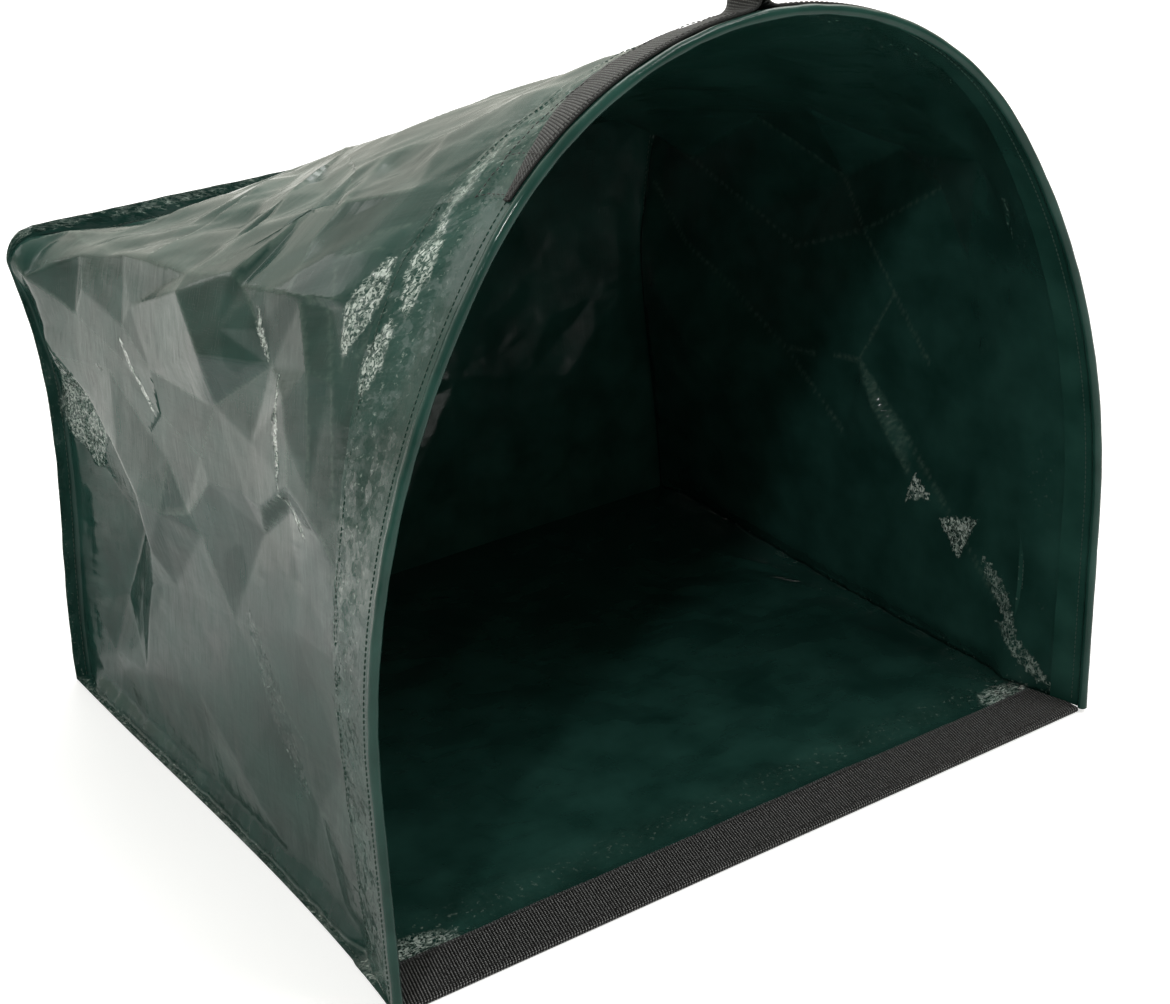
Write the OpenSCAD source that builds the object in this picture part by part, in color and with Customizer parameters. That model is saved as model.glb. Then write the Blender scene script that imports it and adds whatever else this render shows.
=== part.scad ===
// Open-mouthed carry bag of coated woven sheet, lying on its long side.
// A springy rod in the mouth's hem holds it open in a D, over a flat webbing lip.
// The origin is the middle of the ground face: +Y runs from the mouth to the rear
// panel, +X to the right as the mouth is looked into, and +Z up.

/* [Mouth] */
// Width of the mouth, between the centre lines of the hoop's legs
mouth_w = 550; // [500:10:600]
// Height of the mouth, from the ground to the hoop's centre line at the crown
mouth_h = 530; // [500:10:570]
// Height at which the hoop's straight legs end
leg_h = 153; // [120:1:180]
// Radius of the hoop's crown arc, on its centre line
crown_r = 226; // [205:1:235]

/* [Bag body] */
// Depth of the bag, from the hoop's centre line to the back of the rear panel
bag_d = 490; // [420:10:560]
// How much narrower the rear panel is than the mouth, over its seam flanges
rear_narrow = 0; // [0:5:40]
// Height of the rear panel, over its top seam flange
rear_h = 350; // [300:10:400]
// Corner radius of the rear panel
rear_r = 22; // [15:1:40]
// How far the rear panel's sides are drawn in by the pull of the sheet
rear_pull = 13; // [0:1:25]
// Width of the sewn flange on the rear panel's top edge
top_flange = 18; // [10:1:25]
// Width of the sewn flange up the sides and along the ground
side_flange = 11; // [6:1:16]
// How far the side walls are drawn in along the ground
side_pull = 6; // [0:1:30]
// Shape of the slope from the hoop to the rear: 1 is straight, more is fuller
slope_power = 1.15; // [1:0.05:1.6]
// Share of the room beside the hoop's shoulders that the corner folds fill behind the hem
corner_fill = 0.54; // [0:0.02:0.6]
// Height of the folds that the slack sheet makes in the sides, over the hollow below them
fold_h = 30; // [0:1:34]
// Height of the long waves that run along the top
wave_h = 5; // [0:0.5:8]
// Thickness of a wall
sheet_t = 1.5; // [1:0.1:2.5]

/* [Hoop and hem] */
// Diameter of the hoop's rod
rod_d = 4; // [3:0.5:6]
// Wall of the cap on each end of the rod
cap_t = 0.5; // [0.4:0.1:1]
// Length of each cap
cap_l = 18; // [10:1:30]
// Thickness of the folded hem strip
hem_t = 0.6; // [0.4:0.1:1]
// Width of the hem strip's outer leaf
hem_out_w = 58; // [40:1:80]
// Width of the hem strip's inner leaf
hem_in_w = 25; // [15:1:35]

/* [Lip] */
// Width of the lip tape, on each side of the fold
lip_w = 40; // [25:1:60]
// Thickness of the lip tape
lip_t = 1; // [0.8:0.1:2]

/* [Handle] */
// Width of the webbing
strap_w = 30; // [25:1:45]
// Thickness of the webbing
strap_t = 1.5; // [1:0.1:2.5]
// Length of each tail, sewn along the hem
tail_l = 172; // [80:1:220]
// Distance from the middle of the crown to each tail
tail_gap = 12; // [9:1:25]
// Height of the sewn stem under the loop
stem_h = 16; // [8:1:30]
// Inner radius of the loop's top
loop_r = 30; // [22:1:34]
// Angle at which each side of the loop leaves the stem
loop_angle = 26; // [20:1:35]

/* [Fit] */
// Gap between pieces that lie on each other
gap = 0.3; // [0.2:0.05:0.5]
// Gap between the rod and its caps
cap_fit = 0.05; // [0.02:0.01:0.1]

/* [Hidden] */
$fn = 96;

sheet_green = [0.13, 0.23, 0.2];
hem_green = [0.1, 0.19, 0.16];
webbing_black = [0.12, 0.12, 0.13];
rod_grey = [0.75, 0.74, 0.68];

// Heights above the ground of the pieces that are stacked at the lip
lip_sheet_z = lip_t + gap;
foot_z = lip_sheet_z + sheet_t + gap;
// Height of the side walls' lower edges behind the lip
wall_z = sheet_t + gap;

// Hoop: straight legs, side arcs and a crown arc, all tangent to each other
half_w = mouth_w / 2;
arch_h = mouth_h - leg_h;
side_r = (half_w * half_w + arch_h * arch_h - 2 * arch_h * crown_r) / (2 * (half_w - crown_r));
side_angle = atan2(arch_h - crown_r, side_r - half_w);
leg_l = leg_h - foot_z;
side_l = side_r * side_angle * PI / 180;
crown_l = crown_r * (90 - side_angle) * PI / 180;
ridge_s = leg_l + side_l;
half_l = ridge_s + crown_l;
shoulder_room = half_w - crown_r * cos(side_angle);
corner_bulge = corner_fill * shoulder_room;

// Rod, caps and hem strip, from the centre line outwards
rod_r = rod_d / 2;
cap_r = rod_r + cap_fit + cap_t;
tunnel_r = cap_r + gap;
bead_r = tunnel_r + hem_t;
leaf_k = sheet_t / 2 + gap;
strap_k = leaf_k + hem_t + gap;
rod_end_z = foot_z + cap_t + cap_fit;

// Depths behind the hoop's centre line
panel_y = bead_r + 1.5;
rear_y = bag_d - sheet_t - gap;
strap_y = bead_r + 1;
lip_edge_y = gap + lip_t;
lip_rear_y = lip_edge_y - gap - lip_t + lip_w;
joggle_l = 6;

// Rear outline of the side and top wall, inside the rear panel's flanges
rear_w = mouth_w - rear_narrow;
inner_w = rear_w / 2 - side_flange;
inner_h = rear_h - top_flange;
inner_r = max(rear_r - (side_flange + top_flange) / 2, 3);
corner_s = inner_h - inner_r - foot_z + inner_r * PI / 4;
rear_l = inner_h - inner_r - foot_z + inner_r * PI / 2 + inner_w - inner_r;

// How far the balls inside the rod's joints stand proud of it
ball_over = 0.01;

// Reach of the corner fold along the hoop
fold_spread = 120;

// Swells of the slack sheet: each has its place along the hoop, as a share of the side's
// length, and in depth, as a share of the bag's; its reach in both; and its height
swells = [
    [0.58, 0.84, 0.22, 0.19, fold_h],
    [0.45, 0.9, 0.23, 0.18, -0.85 * fold_h],
    [0.58, 0.35, 0.32, 0.3, fold_h / 7],
    [0.9, 0.48, 0.11, 0.22, fold_h / 7],
    [1.18, 0.5, 0.09, 0.33, wave_h],
    [half_l / ridge_s, 0.55, 0.12, 0.3, -wave_h]];

// Steps in each stretch of the hoop
leg_n = 4;
side_n = 9;
crown_n = 11;
// Rows of points across the hem's inner leaf, and from the hem to the rear
leaf_n = 3;
row_n = 9;
bead_n = 8;
strap_n = 14;

function mix(a, b, t) = a + (b - a) * t;

// Point and outward direction [x, z, nx, nz] on the hoop, at length s from the left foot
function hoop(s) =
    s > half_l ? flip(hoop(2 * half_l - s)) :
    s < leg_l ? [-half_w, foot_z + s, -1, 0] :
    s < ridge_s ? arc(side_r - half_w, leg_h, side_r, (s - leg_l) / side_r) :
    arc(0, mouth_h - crown_r, crown_r, side_angle * PI / 180 + (s - ridge_s) / crown_r);

function arc(cx, cz, r, turn) =
    let (c = cos(turn * 180 / PI), q = sin(turn * 180 / PI))
    [cx - r * c, cz + r * q, -c, q];

function flip(p) = [-p[0], p[1], -p[2], p[3]];

// How far the rear panel's side edge is drawn in, at a share t of its straight height
function rear_draw(t) = rear_pull * sin(180 * pow(min(max(t, 0), 1), 1.7));

// Same as hoop(), on a rear outline w wide by h high with corners of radius r
function rear_edge(d, w, h, r) =
    let (side = h - r - foot_z, turn = (d - side) / r)
    d < side ? [-w + rear_draw((foot_z + d) / (h - r)), foot_z + d, -1, 0] :
    turn < PI / 2 ? arc(r - w, h - r, r, turn) :
    [-w + r + (turn - PI / 2) * r, h, 0, 1];

// The rear outline's point that belongs to length s on the hoop
function rear_of(s, w, h, r) =
    s > half_l ? flip(rear_of(2 * half_l - s, w, h, r)) :
    let (d = s < ridge_s ? corner_s * s / ridge_s :
        mix(corner_s, rear_l, (s - ridge_s) / (half_l - ridge_s)))
    rear_edge(d, w, h, r);

// How far the wall is drawn in along the ground at a share v of the depth
function ground_draw(v) = side_pull * 6.75 * v * pow(1 - v, 2);
// Share of the ground flange that has come out from under the hem
function flange_share(v) = min(v * bag_d / hem_out_w, 1);

// 0 at and below zero, 1 from a reach onwards
function fade(a, reach) = min(max(a / reach, 0), 1);

// How far the slack sheet stands out at length s from the nearer foot and depth y. It is
// held by the hem, by the rear seam and by the ground
function slack(s, y) =
    let (swell = [for (q = swells)
        q[4] * exp(-pow((s / ridge_s - q[0]) / q[2], 2) - pow((y / bag_d - q[1]) / q[3], 2))])
    (swell * [for (q = swells) 1])
        * fade(s, 60) * fade(y - hem_out_w, 40) * fade(rear_y - y, 30);

// Point on the middle of the wall at length s and depth y, moved out by k
function wall(s, y, k) =
    let (
        v = max(y - panel_y, 0) / (bag_d - panel_y),
        w = pow(v, slope_power),
        f = hoop(s),
        r = rear_of(s, inner_w, inner_h, inner_r),
        side = s > half_l ? 1 : -1,
        from_foot = s > half_l ? 2 * half_l - s : s,
        near_fold = exp(-pow((from_foot - ridge_s) / fold_spread, 2)),
        behind = max(y - hem_in_w, 0) / (bag_d - hem_in_w),
        bulge = corner_bulge * pow(sin(180 * pow(behind, 0.6)), 2) * near_fold,
        low = max(1 - from_foot / ridge_s, 0),
        draw = ground_draw(v) + side_flange * (flange_share(v) - w),
        x = mix(f[0], r[0], w) + side * (0.9 * bulge - draw * low),
        z = mix(f[1], r[1], w) - 0.4 * bulge - foot_drop(y) * max(1 - from_foot / leg_l, 0),
        n = [mix(f[2], r[2], w), mix(f[3], r[3], w)],
        out = (k + slack(from_foot, y)) / norm(n)
    )
    [x + n[0] * out, y - bag_d / 2, z + n[1] * out];

// The wall's lower edge comes down to the floor panel behind the hem
function foot_drop(y) = (foot_z - wall_z) * min(max((y - hem_out_w) / joggle_l, 0), 1);

// Half width of the wall's foot, and of the floor under it, at depth y
function foot_half(y) = -wall(0, y, 0)[0];
function floor_half(y) = foot_half(y) + side_flange * flange_share(y / bag_d);

function half_steps() = concat(
    [for (i = [0:leg_n - 1]) leg_l * i / leg_n],
    [for (i = [0:side_n - 1]) leg_l + side_l * i / side_n],
    [for (i = [0:crown_n - 1]) ridge_s + crown_l * i / crown_n]);
function all_steps() = let (h = half_steps(), n = len(h))
    concat(h, [half_l], [for (i = [1:n]) 2 * half_l - h[n - i]]);

// Depths of the rows of points that the wall and the hem's leaves share
leaf_rows = [for (j = [1:leaf_n]) mix(panel_y, hem_in_w, j / leaf_n)];
hem_rows = concat(leaf_rows, [(hem_in_w + hem_out_w) / 2, hem_out_w]);
wall_rows = concat([panel_y], hem_rows,
    [for (j = [1:row_n]) mix(hem_out_w, rear_y, j / row_n)]);

// Closed shell between two grids of points, the outer and the inner
module shell(outer, inner) {
    n = len(outer);
    m = len(outer[0]);
    function a(i, j) = i * m + j;
    function b(i, j) = n * m + i * m + j;
    function quad(p, q, r, s) = [[p, q, r], [p, r, s]];
    points = concat([for (row = outer, p = row) p], [for (row = inner, p = row) p]);
    faces = concat(
        [for (i = [0:n - 2], j = [0:m - 2], f = quad(a(i, j), a(i, j + 1), a(i + 1, j + 1), a(i + 1, j))) f],
        [for (i = [0:n - 2], j = [0:m - 2], f = quad(b(i, j), b(i + 1, j), b(i + 1, j + 1), b(i, j + 1))) f],
        [for (i = [0:n - 2], f = quad(a(i, 0), a(i + 1, 0), b(i + 1, 0), b(i, 0))) f],
        [for (i = [0:n - 2], f = quad(a(i + 1, m - 1), a(i, m - 1), b(i, m - 1), b(i + 1, m - 1))) f],
        [for (j = [0:m - 2], f = quad(a(0, j + 1), a(0, j), b(0, j), b(0, j + 1))) f],
        [for (j = [0:m - 2], f = quad(a(n - 1, j), a(n - 1, j + 1), b(n - 1, j + 1), b(n - 1, j))) f]);
    polyhedron(points = points, faces = faces);
}

// Left side, top and right side in one sheet, with a flange turned out at the rear
module wrap_panel() {
    t = sheet_t / 2;
    function tip(s, y) =
        let (p = rear_of(s, rear_w / 2 - 1, rear_h - 1, rear_r))
        [p[0], y - bag_d / 2, p[1]];
    outer = [for (s = all_steps()) concat(
        [for (y = wall_rows) wall(s, min(y, rear_y - sheet_t), t)],
        [tip(s, rear_y - sheet_t)])];
    inner = [for (s = all_steps()) concat(
        [for (y = wall_rows) wall(s, y, -t)],
        [tip(s, rear_y)])];
    color(sheet_green)
        shell(outer, inner);
}

// Extrusion of a side view [y, z] along X
module along_x(length) {
    rotate([90, 0, 90])
        linear_extrude(length, center = true)
            children();
}

// Flat outline seen from above, from its half width at each depth in a list
module plan(depths, half_widths) {
    n = len(depths);
    right = [for (i = [0:n - 1]) [half_widths[i], depths[i] - bag_d / 2]];
    left = [for (i = [1:n]) [-half_widths[n - i], depths[n - i] - bag_d / 2]];
    translate([0, 0, -1])
        linear_extrude(foot_z + lip_t + 2)
            polygon(concat(right, left));
}

// Ground sheet, with its seam flanges outside the walls, stepped up into the lip tape
module floor_panel() {
    n = 16;
    rear_edge_y = bag_d - sheet_t - gap;
    ys = [for (i = [0:n]) mix(lip_edge_y, rear_edge_y, pow(i / n, 1.3))];
    front = lip_edge_y - bag_d / 2;
    step = lip_rear_y - bag_d / 2 + gap;
    back = rear_edge_y - bag_d / 2;
    color(sheet_green)
        intersection() {
            along_x(rear_w + mouth_w)
                polygon([[front, lip_sheet_z], [step, lip_sheet_z], [step + joggle_l, 0], [back, 0],
                    [back, sheet_t], [step + joggle_l, sheet_t], [step, lip_sheet_z + sheet_t],
                    [front, lip_sheet_z + sheet_t]]);
            plan(ys, [for (y = ys) min(floor_half(y), half_w - bead_r - gap + y / 4)]);
        }
}

// Flat rear sheet, out to the edge of its seam flanges
module rear_panel() {
    n = 12;
    corner_n = 6;
    half = rear_w / 2;
    side_h = rear_h - rear_r;
    edge = concat(
        [for (i = [0:n - 1]) [half - rear_draw(i / n), side_h * i / n]],
        [for (i = [0:corner_n]) [half - rear_r + rear_r * cos(90 * i / corner_n),
            side_h + rear_r * sin(90 * i / corner_n)]]);
    color(sheet_green)
        translate([0, bag_d / 2, 0])
            rotate([90, 0, 0])
                linear_extrude(sheet_t)
                    polygon(concat(edge, [for (i = [1:len(edge)]) let (p = edge[len(edge) - i]) [-p[0], p[1]]]));
}

// Hem strip folded round the rod: a leaf on each side of the wall and a bead in front
module hem_band() {
    // Section from the inner leaf's edge round the bead to the outer leaf's edge
    function fold(r, k) =
        let (a = asin(k / r))
        concat(
            [for (j = [1:leaf_n]) [leaf_rows[leaf_n - j], -k]],
            [[panel_y, -k]],
            [for (i = [0:bead_n]) let (b = mix(a, 360 - a, i / bead_n)) [r * cos(b), -r * sin(b)]],
            [for (y = concat([panel_y], hem_rows)) [y, k]]);
    function on_hoop(s, p) = wall(s, max(p[0], 0), p[1]) + [0, min(p[0], 0), 0];
    color(hem_green)
        shell(
            [for (s = all_steps()) [for (p = fold(bead_r, leaf_k + hem_t)) on_hoop(s, p)]],
            [for (s = all_steps()) [for (p = fold(tunnel_r, leaf_k)) on_hoop(s, p)]]);
}

// Round bar bent to an arc in the hoop's plane
module bent_rod(cx, cz, r, from, angle) {
    translate([cx, -bag_d / 2, cz])
        rotate([90, 0, 0])
            rotate([0, 0, from])
                rotate_extrude(angle = angle)
                    translate([r, 0])
                        circle(rod_r);
}

// Springy rod that holds the mouth open. A ball a hair larger than the rod closes the
// joint between each two stretches, so that they come out as one solid
module hoop_rod() {
    color(rod_grey) {
        for (side = [-1, 1])
            translate([side * half_w, -bag_d / 2, rod_end_z])
                cylinder(r = rod_r, h = leg_h - rod_end_z);
        bent_rod(half_w - side_r, leg_h, side_r, 0, side_angle);
        bent_rod(0, mouth_h - crown_r, crown_r, side_angle, 180 - 2 * side_angle);
        bent_rod(side_r - half_w, leg_h, side_r, 180 - side_angle, side_angle);
        for (s = [leg_l, ridge_s, 2 * half_l - ridge_s, 2 * half_l - leg_l])
            translate([hoop(s)[0], -bag_d / 2, hoop(s)[1]])
                sphere(rod_r + ball_over);
    }
}

// Caps that keep the rod's cut ends from piercing the hem
module rod_end_caps() {
    color(webbing_black)
        for (side = [-1, 1])
            translate([side * half_w, -bag_d / 2, foot_z])
                difference() {
                    cylinder(r = cap_r, h = cap_l);
                    translate([0, 0, cap_t])
                        cylinder(r = rod_r + cap_fit, h = cap_l);
                }
}

// Webbing folded over the ground sheet's front edge
module lip_tape() {
    n = 8;
    ys = [for (i = [0:n]) lip_rear_y * i / n];
    clear = sheet_t / 2 + gap + hem_t + gap;
    front = -bag_d / 2;
    color(webbing_black)
        intersection() {
            along_x(mouth_w)
                difference() {
                    translate([front, 0])
                        square([lip_rear_y, 2 * lip_t + 2 * gap + sheet_t]);
                    translate([front + lip_t, lip_t])
                        square([lip_rear_y, 2 * gap + sheet_t]);
                }
            plan(ys, [for (y = ys) min(half_w - bead_r - gap, foot_half(y) - clear)]);
        }
}

// One flat tail of the handle, sewn along the hem from length s on
module handle_tail(s) {
    ys = concat(
        [strap_y],
        [for (y = hem_rows) if (y > strap_y && y < strap_y + strap_w) y],
        [strap_y + strap_w]);
    color(webbing_black)
        shell(
            [for (i = [0:strap_n]) [for (y = ys) wall(s + tail_l * i / strap_n, y, strap_k + strap_t)]],
            [for (i = [0:strap_n]) [for (y = ys) wall(s + tail_l * i / strap_n, y, strap_k)]]);
}

module handle_strap_left() {
    handle_tail(half_l - tail_gap - tail_l);
}

module handle_strap_right() {
    handle_tail(half_l + tail_gap);
}

// Drop shape with a round top of radius r, whose straight sides meet at height apex
module drop(r, apex) {
    centre = apex + r / sin(loop_angle);
    translate([0, centre])
        circle(r);
    polygon([[0, apex],
        [r * cos(loop_angle), centre - r * sin(loop_angle)],
        [-r * cos(loop_angle), centre - r * sin(loop_angle)]]);
}

// Carrying loop, doubled and sewn into a stem that flexes where it meets the crown
module handle_loop() {
    middle = wall(half_l, strap_y + strap_w / 2, strap_k);
    fall = wall(half_l, strap_y, 0)[2] - wall(half_l, strap_y + strap_w, 0)[2];
    outer_apex = stem_h - strap_t / tan(loop_angle);
    color(webbing_black)
        translate(middle)
            rotate([-atan2(fall, strap_w), 0, 0])
                rotate([90, 0, 0])
                    linear_extrude(strap_w, center = true)
                        difference() {
                            union() {
                                translate([0, strap_t])
                                    circle(strap_t);
                                translate([-strap_t, strap_t])
                                    square([2 * strap_t, stem_h - strap_t]);
                                drop(loop_r + strap_t, outer_apex);
                            }
                            drop(loop_r, outer_apex + strap_t / sin(loop_angle));
                        }
}

wrap_panel();
floor_panel();
rear_panel();
hem_band();
hoop_rod();
rod_end_caps();
lip_tape();
handle_strap_left();
handle_strap_right();
handle_loop();
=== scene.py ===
"""Looks of the open-mouthed carry bag: creased woven sheet, hem, webbing and stage.

The sheets are built in millimetres from the same formulas as the solids, with folds and
crinkles added on top, and are handed to Blender in metres in the shared frame.
"""

import logging
import math
from dataclasses import dataclass
from enum import Enum
from functools import cached_property
from typing import Any, Sequence

import bpy
import numpy as np
from mathutils import Matrix, Vector
from mathutils.bvhtree import BVHTree
from mathutils.geometry import delaunay_2d_cdt


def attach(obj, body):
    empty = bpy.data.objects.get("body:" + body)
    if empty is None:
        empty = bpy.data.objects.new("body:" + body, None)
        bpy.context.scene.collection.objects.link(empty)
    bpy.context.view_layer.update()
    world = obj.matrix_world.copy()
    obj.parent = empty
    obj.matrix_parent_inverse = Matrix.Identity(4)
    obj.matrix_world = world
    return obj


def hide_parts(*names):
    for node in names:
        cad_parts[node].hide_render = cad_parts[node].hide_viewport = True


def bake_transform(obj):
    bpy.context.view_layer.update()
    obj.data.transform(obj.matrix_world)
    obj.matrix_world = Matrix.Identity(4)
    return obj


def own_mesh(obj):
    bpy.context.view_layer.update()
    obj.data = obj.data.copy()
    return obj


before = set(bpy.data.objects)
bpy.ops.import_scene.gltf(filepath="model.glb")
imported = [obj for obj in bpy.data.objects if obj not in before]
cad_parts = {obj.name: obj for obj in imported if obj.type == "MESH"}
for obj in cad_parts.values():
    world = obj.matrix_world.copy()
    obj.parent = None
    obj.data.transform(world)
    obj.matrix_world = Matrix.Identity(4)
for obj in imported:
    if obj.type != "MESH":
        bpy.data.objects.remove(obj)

logging.basicConfig(level=logging.INFO, format="%(message)s")
log = logging.getLogger("bag")

Array = np.ndarray
MM = 0.001
# Pitch of the webbing's ribs in millimetres, and their slant in pitches per millimetre
RIB = 2.0
RIB_LEAN = -0.12
# How far the flanges of the wrap sheet stay inside the rear sheet's edge
FLANGE_INSET = 0.6
# Lowest place of the wrap sheet, which is over the floor sheet
LOWEST = 1.2
# Rows of the wrap sheet's rear flange and their pitch along the sheet
FLANGE_ROWS = 6
FLANGE_PITCH = 3.0
# Places along the sheet of the ground flange's columns, and their shares of its width
GROUND_COLUMNS = np.array([[-11.0, 0.97], [-7.0, 0.6], [-3.5, 0.25]])
# Factor that makes the highest value of v (1 - v)^2 equal to 1
PULL_PEAK = 27 / 4
# How far a swell beside the hoop's shoulders goes outwards and down, per millimetre
BULGE_WAY = (0.9, 0.4)
# Takes a point of the left side to the right side
MIRROR = np.array([-1.0, 1.0, 1.0])


# --- Sizes ---


@dataclass(frozen=True)
class BagSizes:
    """Sizes of the bag in millimetres, with the names that the solids use."""

    mouth_w: float = 550.0
    mouth_h: float = 530.0
    leg_h: float = 153.0
    crown_r: float = 226.0
    bag_d: float = 490.0
    rear_h: float = 350.0
    rear_r: float = 22.0
    rear_pull: float = 13.0
    top_flange: float = 18.0
    side_flange: float = 11.0
    side_pull: float = 6.0
    slope_power: float = 1.15
    corner_fill: float = 0.54
    fold_spread: float = 120.0
    fold_h: float = 30.0
    wave_h: float = 5.0
    sheet_t: float = 1.5
    rod_r: float = 2.0
    hem_t: float = 0.6
    hem_out_w: float = 58.0
    hem_in_w: float = 25.0
    lip_w: float = 40.0
    lip_t: float = 1.0
    strap_w: float = 30.0
    strap_t: float = 1.5
    tail_l: float = 172.0
    tail_gap: float = 12.0
    stem_h: float = 16.0
    loop_r: float = 30.0
    loop_angle: float = 26.0
    gap: float = 0.3

    @cached_property
    def half_w(self) -> float:
        return self.mouth_w / 2

    @cached_property
    def side_r(self) -> float:
        """Radius of the hoop's side arcs, tangent to the legs and to the crown."""
        a, h = self.half_w, self.mouth_h - self.leg_h
        return (a * a + h * h - 2 * h * self.crown_r) / (2 * (a - self.crown_r))

    @cached_property
    def side_angle(self) -> float:
        return math.atan2(
            self.mouth_h - self.leg_h - self.crown_r, self.side_r - self.half_w
        )

    @cached_property
    def foot_z(self) -> float:
        return self.lip_t + self.sheet_t + 2 * self.gap

    @cached_property
    def wall_z(self) -> float:
        return self.sheet_t + self.gap

    @cached_property
    def leg_l(self) -> float:
        return self.leg_h - self.foot_z

    @cached_property
    def ridge_s(self) -> float:
        """Length along the hoop from a foot to the upper corner fold."""
        return self.leg_l + self.side_r * self.side_angle

    @cached_property
    def half_l(self) -> float:
        return self.ridge_s + self.crown_r * (math.pi / 2 - self.side_angle)

    @cached_property
    def tunnel_r(self) -> float:
        return self.rod_r + 0.55 + self.gap

    @cached_property
    def bead_r(self) -> float:
        return self.tunnel_r + self.hem_t

    @cached_property
    def panel_y(self) -> float:
        return self.bead_r + 1.5

    @cached_property
    def rear_y(self) -> float:
        return self.bag_d - self.sheet_t - self.gap

    @cached_property
    def leaf_k(self) -> float:
        return self.sheet_t / 2 + self.gap

    @cached_property
    def strap_k(self) -> float:
        return self.leaf_k + self.hem_t + self.gap

    @cached_property
    def corner_bulge(self) -> float:
        room = self.half_w - self.crown_r * math.cos(self.side_angle)
        return self.corner_fill * room

    @cached_property
    def last_y(self) -> float:
        """Depth of the wall's last row, just before the rear sheet."""
        return self.rear_y - 0.4

    @cached_property
    def lip_h(self) -> float:
        """Height of the lip tape with the floor sheet's edge in it."""
        return 2 * self.lip_t + 2 * self.gap + self.sheet_t

    @cached_property
    def between_bead(self) -> float:
        """Half of the width that the mouth's bead leaves free."""
        return self.half_w - self.bead_r - self.gap

    @cached_property
    def strap_y(self) -> float:
        """Depth of the handle webbing's front edge."""
        return self.bead_r + 1

    @cached_property
    def tail_s(self) -> float:
        """Place along the hoop where the left tail starts."""
        return self.half_l - self.tail_gap - self.tail_l

    @cached_property
    def inner(self) -> tuple[float, float, float]:
        """Half width, height and corner radius of the rear panel inside its flanges."""
        flanges = (self.side_flange + self.top_flange) / 2
        return (
            self.half_w - self.side_flange,
            self.rear_h - self.top_flange,
            self.rear_r - flanges,
        )

    @cached_property
    def outer(self) -> tuple[float, float, float]:
        """Half width, height and corner radius at the wrap sheet's flange edge."""
        return self.half_w - FLANGE_INSET, self.rear_h - FLANGE_INSET, self.rear_r

    def from_foot(self, s: Array) -> Array:
        """Length along the hoop from the nearer foot."""
        return np.where(s > self.half_l, 2 * self.half_l - s, s)

    def side(self, s: Array) -> Array:
        """-1 on the left side and 1 on the right side."""
        return np.where(s > self.half_l, 1.0, -1.0)


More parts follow.
